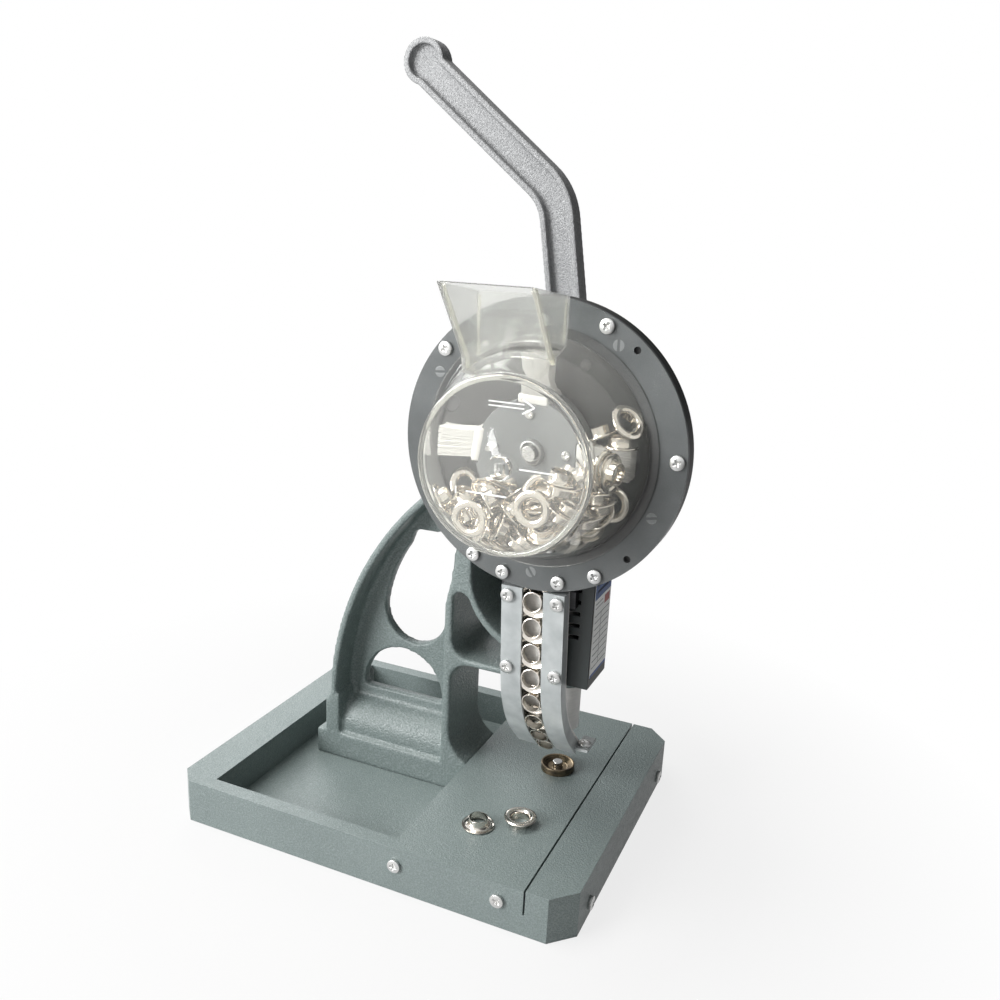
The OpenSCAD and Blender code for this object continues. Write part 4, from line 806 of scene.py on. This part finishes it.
def rounded_block(lo, hi, edge=0.0007):
    """A box as one grid: a superellipse outline in its second and third directions, shut ends."""
    lo, hi = np.array(lo), np.array(hi)
    turn = round_angles(48)
    half = (hi - lo) / 2

    def soft(c):
        return np.sign(c) * abs(c) ** 0.16

    rings = []
    for u, shrink in ((-1, edge), (-1 + edge / half[0] * 0.35, edge * 0.3),
                      (-1 + edge / half[0], 0), (1 - edge / half[0], 0),
                      (1 - edge / half[0] * 0.35, edge * 0.3), (1, edge)):
        rings.append(np.column_stack([np.full(48, u * half[0]),
                                      (half[1] - shrink) * soft(np.cos(turn)),
                                      (half[2] - shrink) * soft(np.sin(turn))]))
    return shut(np.array(rings) + (lo + hi) / 2)


def brush_grids():
    """One brush that points along +X from the origin: the block, and bristles of 0.48 mm."""
    grids = [rounded_block((BLOCK_LOW, HUB_FRONT + 0.0005, -BRUSH_HALF),
                           (BLOCK_TOP, HUB_FRONT + 0.0135, BRUSH_HALF))]
    s = np.linspace(0, 1, 5)
    for v in np.linspace(-1, 1, 21):
        for w in np.linspace(-1, 1, 15):
            foot_y = HUB_FRONT + 0.007 + w * 0.0055 + rng.uniform(-0.0001, 0.0001)
            foot_z = v * FIELD_HALF + rng.uniform(-0.00012, 0.00012)
            tip = REACH - 0.0008 - abs(v) * 0.0004 - rng.uniform(0, 0.0006)
            lean_z = v * 0.0014 + rng.normal(0, 0.0003)
            lean_y = w * 0.0004 + rng.normal(0, 0.00012)
            path = np.stack([BLOCK_TOP - SUNK + s * (tip - BLOCK_TOP + SUNK),
                             foot_y + lean_y * s ** 1.6, foot_z + lean_z * s ** 1.6], -1)
            grids.append(tube(path, BRISTLE_R, 5))
    return grids


brush = brush_grids()
for number in (1, 2, 3, 4):
    node = "brush_%d" % number
    lo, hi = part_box(node)
    out_x, out_z = (lo.x + hi.x) / 2 - AX, (lo.z + hi.z) / 2 - AZ
    if abs(out_x) > abs(out_z):
        spin = np.diag([np.sign(out_x), 1, np.sign(out_x)])
    else:
        spin = np.array([(0, 0, -np.sign(out_z)), (0, 1, 0), (np.sign(out_z), 0, 0)])
    fit(made(node + "_part", [(g @ spin.T + (AX, 0, AZ), a, b) for g, a, b in brush], 50),
        node, nylon)

cup = [(0, -0.0642), (0.0047, -0.0642), (0.005, -0.0646), (0.0053, -0.0667), (0.0057, -0.067),
       (0.0063, -0.0668), (0.0067, -0.066), (0.0069, -0.063), (0, -0.063)]
washer_steel = metal_finish("washer_steel", (0.28, 0.29, 0.29), (0.5, 0.5, 0.49), (0.3, 0.5))
middle_screw = set_at(pan_screw(0.002, 0.0034), (AX, -0.0645, AZ), (0, -1, 0), 0.4)
fit(made("hub_nut_part", [lathe(cup, (AX, 0, AZ), 64), middle_screw], 45), "hub_nut",
    washer_steel)
small = [set_at(pan_screw(0.001, 0.0026), (AX + HUB_SCREW_CIRCLE * math.cos(a),
                                           HUB_FRONT + 0.0006,
                                           AZ + HUB_SCREW_CIRCLE * math.sin(a)), (0, -1, 0), a)
         for a in np.radians((4, 94, 184, 274))]
add_on(made("hub_screws", small, 45), "brush_hub", zinc)

# ---- eyelets ----
# Nickel plated brass eyelets, spun from sheet: a rolled flange, a round throat and a thin barrel,
# with a cloudy tone between bright nickel and a warmer, browner tone all over.
shade = Shade("nickel")
cloud = shade.noise(shade.place(), 160.0, 4.0)
nickel = shade.out(shade.coat(shade.tint(cloud, (0.88, 0.85, 0.8, 1), (0.72, 0.66, 0.58, 1)),
                              shade.ramp(cloud, 0.35, 0.7, 0.07, 0.2), Metallic=1.0))
EYELET = np.array([(5.7, 5.95), (5.72, 2.4), (5.85, 1.35), (6.3, 0.6), (7.0, 0.18), (7.9, 0.0),
                   (8.8, 0.0), (9.7, 0.12), (10.25, 0.45), (10.48, 0.9), (10.35, 1.28),
                   (10.0, 1.22), (9.5, 0.84), (8.7, 0.6), (7.9, 0.6), (7.2, 0.86), (6.65, 1.45),
                   (6.32, 2.5), (6.3, 5.9), (6.1, 6.0), (5.9, 6.02), (5.7, 5.95)]) / 1000
EYELET_R = 0.0105


def eyelet(sides=40):
    """One eyelet about +Z: flange down on the origin's plane, barrel up."""
    return carried_round(EYELET, sides)


def rotated(grid, axes, place):
    """The grid's points with its axes turned to the matrix's columns, and moved to place."""
    return grid @ np.array(axes).T + np.array(place), True, False


lo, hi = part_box("eyelets_table")
barrel_up = rotated(eyelet(64), np.eye(3), (lo.x + EYELET_R, lo.y + EYELET_R, lo.z))
barrel_down = rotated(eyelet(64), np.diag([1, -1, -1]), (hi.x - EYELET_R, hi.y - EYELET_R, hi.z))
fit(made("eyelets_table_part", [barrel_up, barrel_down], 30), "eyelets_table", nickel)

# The row in the chute stands where the CAD model's eyelets stand: on the straight fall and the
# bend, each with its barrel outwards and tipped down a little.
CHUTE_LEAN, CHUTE_END, CHUTE_DROP, CHUTE_BEND = math.radians(4.9), math.radians(45), 0.06, 0.085
CHUTE_TOP, ROW, FIRST, PITCH = (-0.048, 0.1875), 8, 0.009, 0.0175
LIFT, TIP, FLANGE_BACK = 0.0045, math.radians(12), 0.001


def on_chute(far, off):
    """The place (y, z) and lean of a spot that distance down the chute, off behind its front."""
    down = np.array((math.sin(CHUTE_LEAN), -math.cos(CHUTE_LEAN)))
    back = np.array((math.cos(CHUTE_LEAN), math.sin(CHUTE_LEAN)))
    if far <= CHUTE_DROP:
        return np.array(CHUTE_TOP) + far * down + off * back, CHUTE_LEAN
    centre = np.array(CHUTE_TOP) + CHUTE_DROP * down + CHUTE_BEND * back
    lean = min(CHUTE_END, CHUTE_LEAN + (far - CHUTE_DROP) / (CHUTE_BEND - off))
    over = max(0, far - CHUTE_DROP - (CHUTE_END - CHUTE_LEAN) * (CHUTE_BEND - off))
    spot = centre - (CHUTE_BEND - off) * np.array((math.cos(lean), math.sin(lean)))
    return spot + over * np.array((math.sin(lean), -math.cos(lean))), lean


row = []
lo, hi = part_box("lower_die")
die_x = (lo.x + hi.x) / 2
for i in range(ROW):
    spot, lean = on_chute(FIRST + i * PITCH, LIFT)
    tip = np.array(Matrix.Rotation(lean + math.pi / 2 - TIP, 3, "X"))
    row.append(rotated(eyelet(48) + (0, 0, -FLANGE_BACK), tip, (die_x, spot[0], spot[1])))
fit(made("eyelets_chute_part", row, 30), "eyelets_chute", nickel)

# The heap in the drum is let fall as rigid pieces into a trough of the drum's shape, between the
# hub and the front, and keeps the place where it comes to rest. One unit there is 10 mm.
HEAP, FRAMES, UNIT, PER_METRE = 60, 200, 0.01, 100
FRICTION, BOUNCE, MARGIN, EYELET_MASS = 0.35, 0.05, 0.004, 0.001
PULL, DRUM_LEAN = 98.1, math.radians(14)


def settled():
    """Where the heap's eyelets come to rest: 4 x 4 matrices about the drum's middle, in units."""
    scene = bpy.context.scene
    bpy.ops.rigidbody.world_add()
    world = scene.rigidbody_world
    world.substeps_per_frame, world.solver_iterations = 10, 20
    world.point_cache.frame_start, world.point_cache.frame_end = 1, FRAMES
    world.collection = bpy.data.collections.new("falling")
    scene.collection.children.link(world.collection)
    scene.gravity = (PULL * math.sin(DRUM_LEAN), 0, -PULL * math.cos(DRUM_LEAN))
    made_here = []

    def body(corners, faces, kind, shape):
        """A rigid piece of those corners: without faces, the hull round them."""
        mesh = bpy.data.meshes.new("falling")
        mesh.from_pydata(np.array(corners) * PER_METRE, [], faces)
        piece = bpy.data.objects.new("falling", mesh)
        world.collection.objects.link(piece)
        piece.rigid_body.type, piece.rigid_body.collision_shape = kind, shape
        piece.rigid_body.friction, piece.rigid_body.restitution = FRICTION, BOUNCE
        piece.rigid_body.use_margin, piece.rigid_body.collision_margin = True, MARGIN
        made_here.append(piece)
        return piece

    def trough(radius, depth):
        """The lower half of a circle at that depth, with its ends carried up."""
        turn = np.linspace(np.pi, 2 * np.pi, 25)
        return [(-radius, -depth, 0.2), *((radius * math.cos(a), -depth, radius * math.sin(a))
                                          for a in turn), (radius, -depth, 0.2)]

    def rod(radius, low, high):
        """The corners of a round bar between two depths."""
        return [(radius * math.cos(a), -depth, radius * math.sin(a))
                for depth in (low, high) for a in round_angles(24)]

    n = 27
    body(trough(0.0638, 0.0482) + trough(0.0468, 0.0998),
         [(i, n + i, n + i + 1, i + 1) for i in range(n - 1)]
         + [tuple(range(n)), tuple(range(2 * n - 1, n - 1, -1))], "PASSIVE", "MESH")
    body(rod(0.0305, 0.048, 0.0635), [], "PASSIVE", "CONVEX_HULL")
    body(rod(0.008, 0.063, 0.071), [], "PASSIVE", "CONVEX_HULL")
    for c, s in ((1, 0), (0, 1), (-1, 0), (0, -1)):
        body([(r * c - w * s, -depth, r * s + w * c) for r in (BLOCK_LOW, REACH)
              for depth in (0.049, 0.063) for w in (-BRUSH_HALF, BRUSH_HALF)], [],
             "PASSIVE", "CONVEX_HULL")
    hull = [(r * math.cos(a), r * math.sin(a), z) for r, z in
            ((0.0102, -0.002), (0.0105, -0.0013), (0.0102, -0.0007), (0.0063, 0.004))
            for a in round_angles(16)]
    fall = np.random.default_rng(7)
    loose = []
    for i in range(HEAP):
        piece = body(hull, [], "ACTIVE", "CONVEX_HULL")
        piece.rigid_body.mass = EYELET_MASS
        piece.rigid_body.linear_damping, piece.rigid_body.angular_damping = 0.1, 0.3
        piece.location = (-2.4 + 2.4 * (i % 3) + fall.uniform(-0.3, 0.3),
                          -(6 + 2.7 * (i // 3 % 2) + fall.uniform(-0.1, 0.1)),
                          3.8 + 1.3 * (i // 6))
        piece.rotation_euler = (math.radians(90 + fall.uniform(-35, 35)),
                                math.radians(fall.uniform(-25, 25)), fall.uniform(0, 2 * np.pi))
        loose.append(piece)
    for number in range(1, FRAMES + 1):
        scene.frame_set(number)
    view = bpy.context.evaluated_depsgraph_get()
    rest = [np.array(piece.evaluated_get(view).matrix_world) for piece in loose]
    bpy.ops.rigidbody.world_remove()
    for piece in made_here:
        bpy.data.objects.remove(piece)
    bpy.data.collections.remove(bpy.data.collections["falling"])
    scene.frame_set(1)
    scene.gravity = (0, 0, -9.81)
    return rest


heap = []
for rest in settled():
    place = rest[:3, 3] * UNIT
    inside = (0.049 < -place[1] < 0.099
              and np.hypot(place[0], place[2]) < cone_r(place[1]) - WALL)
    if inside and (place[0] > 0.02 or place[2] < 0.0):
        heap.append(rotated(eyelet() + (0, 0, -0.002), rest[:3, :3], place + (AX, 0, AZ)))
fit(made("eyelets_hopper_part", heap, 30), "eyelets_hopper", nickel)

# ---- chute ----
# Two bent strips of pale blue grey zinc plated steel over rails and a back strip, screwed
# together, with the tab and stop screw at their foot.
strip_zinc = metal_finish("strip_zinc", (0.37, 0.395, 0.4), (0.52, 0.55, 0.55), (0.3, 0.46),
                          metallic=0.2, stretch=0.05)
broken_edges("chute_strips", strip_zinc, 0.0004, 3, 30)
broken_edges("chute_rails", strip_zinc, 0.0003, 2, 30)
broken_edges("chute_back", dull_steel, 0.0003, 2, 30)
broken_edges("chute_jaw", strip_zinc, 0.0004, 3)
SCREW_SIDE, CHUTE_SCREW, STOP_SCREW = 0.01588, 0.0094, 0.004
screw_grids = []
for number, (far, side) in enumerate(((0.006, -1), (0.006, 1), (0.055, -1), (0.055, 1))):
    spot, lean = on_chute(far, 0.0)
    screw_grids.append(set_at(pan_screw(CHUTE_SCREW), (die_x + side * SCREW_SIDE, *spot),
                              (0, -math.cos(lean), -math.sin(lean)), 0.7 * number))
jaw_lo, jaw_hi = islands("chute_screws")[-1]
stop = (jaw_lo + jaw_hi) / 2
screw_grids.append(set_at(pan_screw(STOP_SCREW), (stop[0], stop[1], jaw_hi[2] - HEAD_H),
                          (0, 0, 1), 0.3))
fit(made("chute_screws_part", screw_grids, 50), "chute_screws", zinc)

# ---- gearbox and motor ----
# A dark plastic gear case, a charcoal motor housing with vent slots, and a printed label of plain
# colour fields on its right side.
charcoal = sheet_finish("charcoal", (0.014, 0.019, 0.019), (0.03, 0.037, 0.037), (0.32, 0.5),
                        0.00006)
broken_edges("motor_housing", charcoal, 0.0016, 4, 30)
broken_edges("motor_end_cap", charcoal, 0.0004, 2)
case_grey = sheet_finish("case_grey", (0.06, 0.066, 0.067), (0.1, 0.107, 0.108), (0.35, 0.5),
                         0.00005)
broken_edges("gearbox_case", case_grey, 0.0012, 3, 30)
broken_edges("gearbox_cover", case_grey, 0.001, 3, 30)
label_white = sheet_finish("label_white", (0.84, 0.85, 0.84), (0.93, 0.94, 0.93), (0.35, 0.5))
broken_edges("motor_label", label_white, 0.0001, 1)
label_lo, label_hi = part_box("motor_label")
PRINT_LOW, PRINT_HIGH, PRINT_DARKER = 0.00001, 0.00007, 0.85


def field(y0, y1, z0, z1):
    """A printed field on the label, given as shares of its width and height."""
    y = [label_lo.y + k * (label_hi.y - label_lo.y) for k in (y0, y1)]
    z = [label_lo.z + k * (label_hi.z - label_lo.z) for k in (z0, z1)]
    ring = np.array([(y[0], z[0]), (y[1], z[0]), (y[1], z[1]), (y[0], z[1])])
    return shut([np.column_stack([np.full(4, label_hi.x + lift), ring])
                 for lift in (PRINT_LOW, PRINT_HIGH)])


ruled = [(0.06, 0.94, 0.08 + 0.062 * i, 0.086 + 0.062 * i) for i in range(9)]
for name, tint, fields in (
        ("label_blue", (0.03, 0.1, 0.32), [(0.0, 1.0, 0.74, 1.0), (0.0, 1.0, 0.0, 0.025)]),
        ("label_pale", (0.2, 0.32, 0.5), [(0.1, 0.9, 0.8, 0.815), (0.1, 0.7, 0.86, 0.875),
                                          (0.1, 0.8, 0.92, 0.935)]),
        ("label_red", (0.42, 0.06, 0.05), [(0.62, 0.94, 0.63, 0.71)]),
        ("label_lines", (0.12, 0.12, 0.13), ruled + [
            (0.44, 0.452, 0.08, 0.576), (0.06, 0.56, 0.65, 0.656), (0.06, 0.5, 0.69, 0.696)])):
    darker = tuple(PRINT_DARKER * c for c in tint)
    add_on(made(name, [field(*f) for f in fields], 30), "motor_label",
           sheet_finish(name, darker, tint, (0.35, 0.5)))
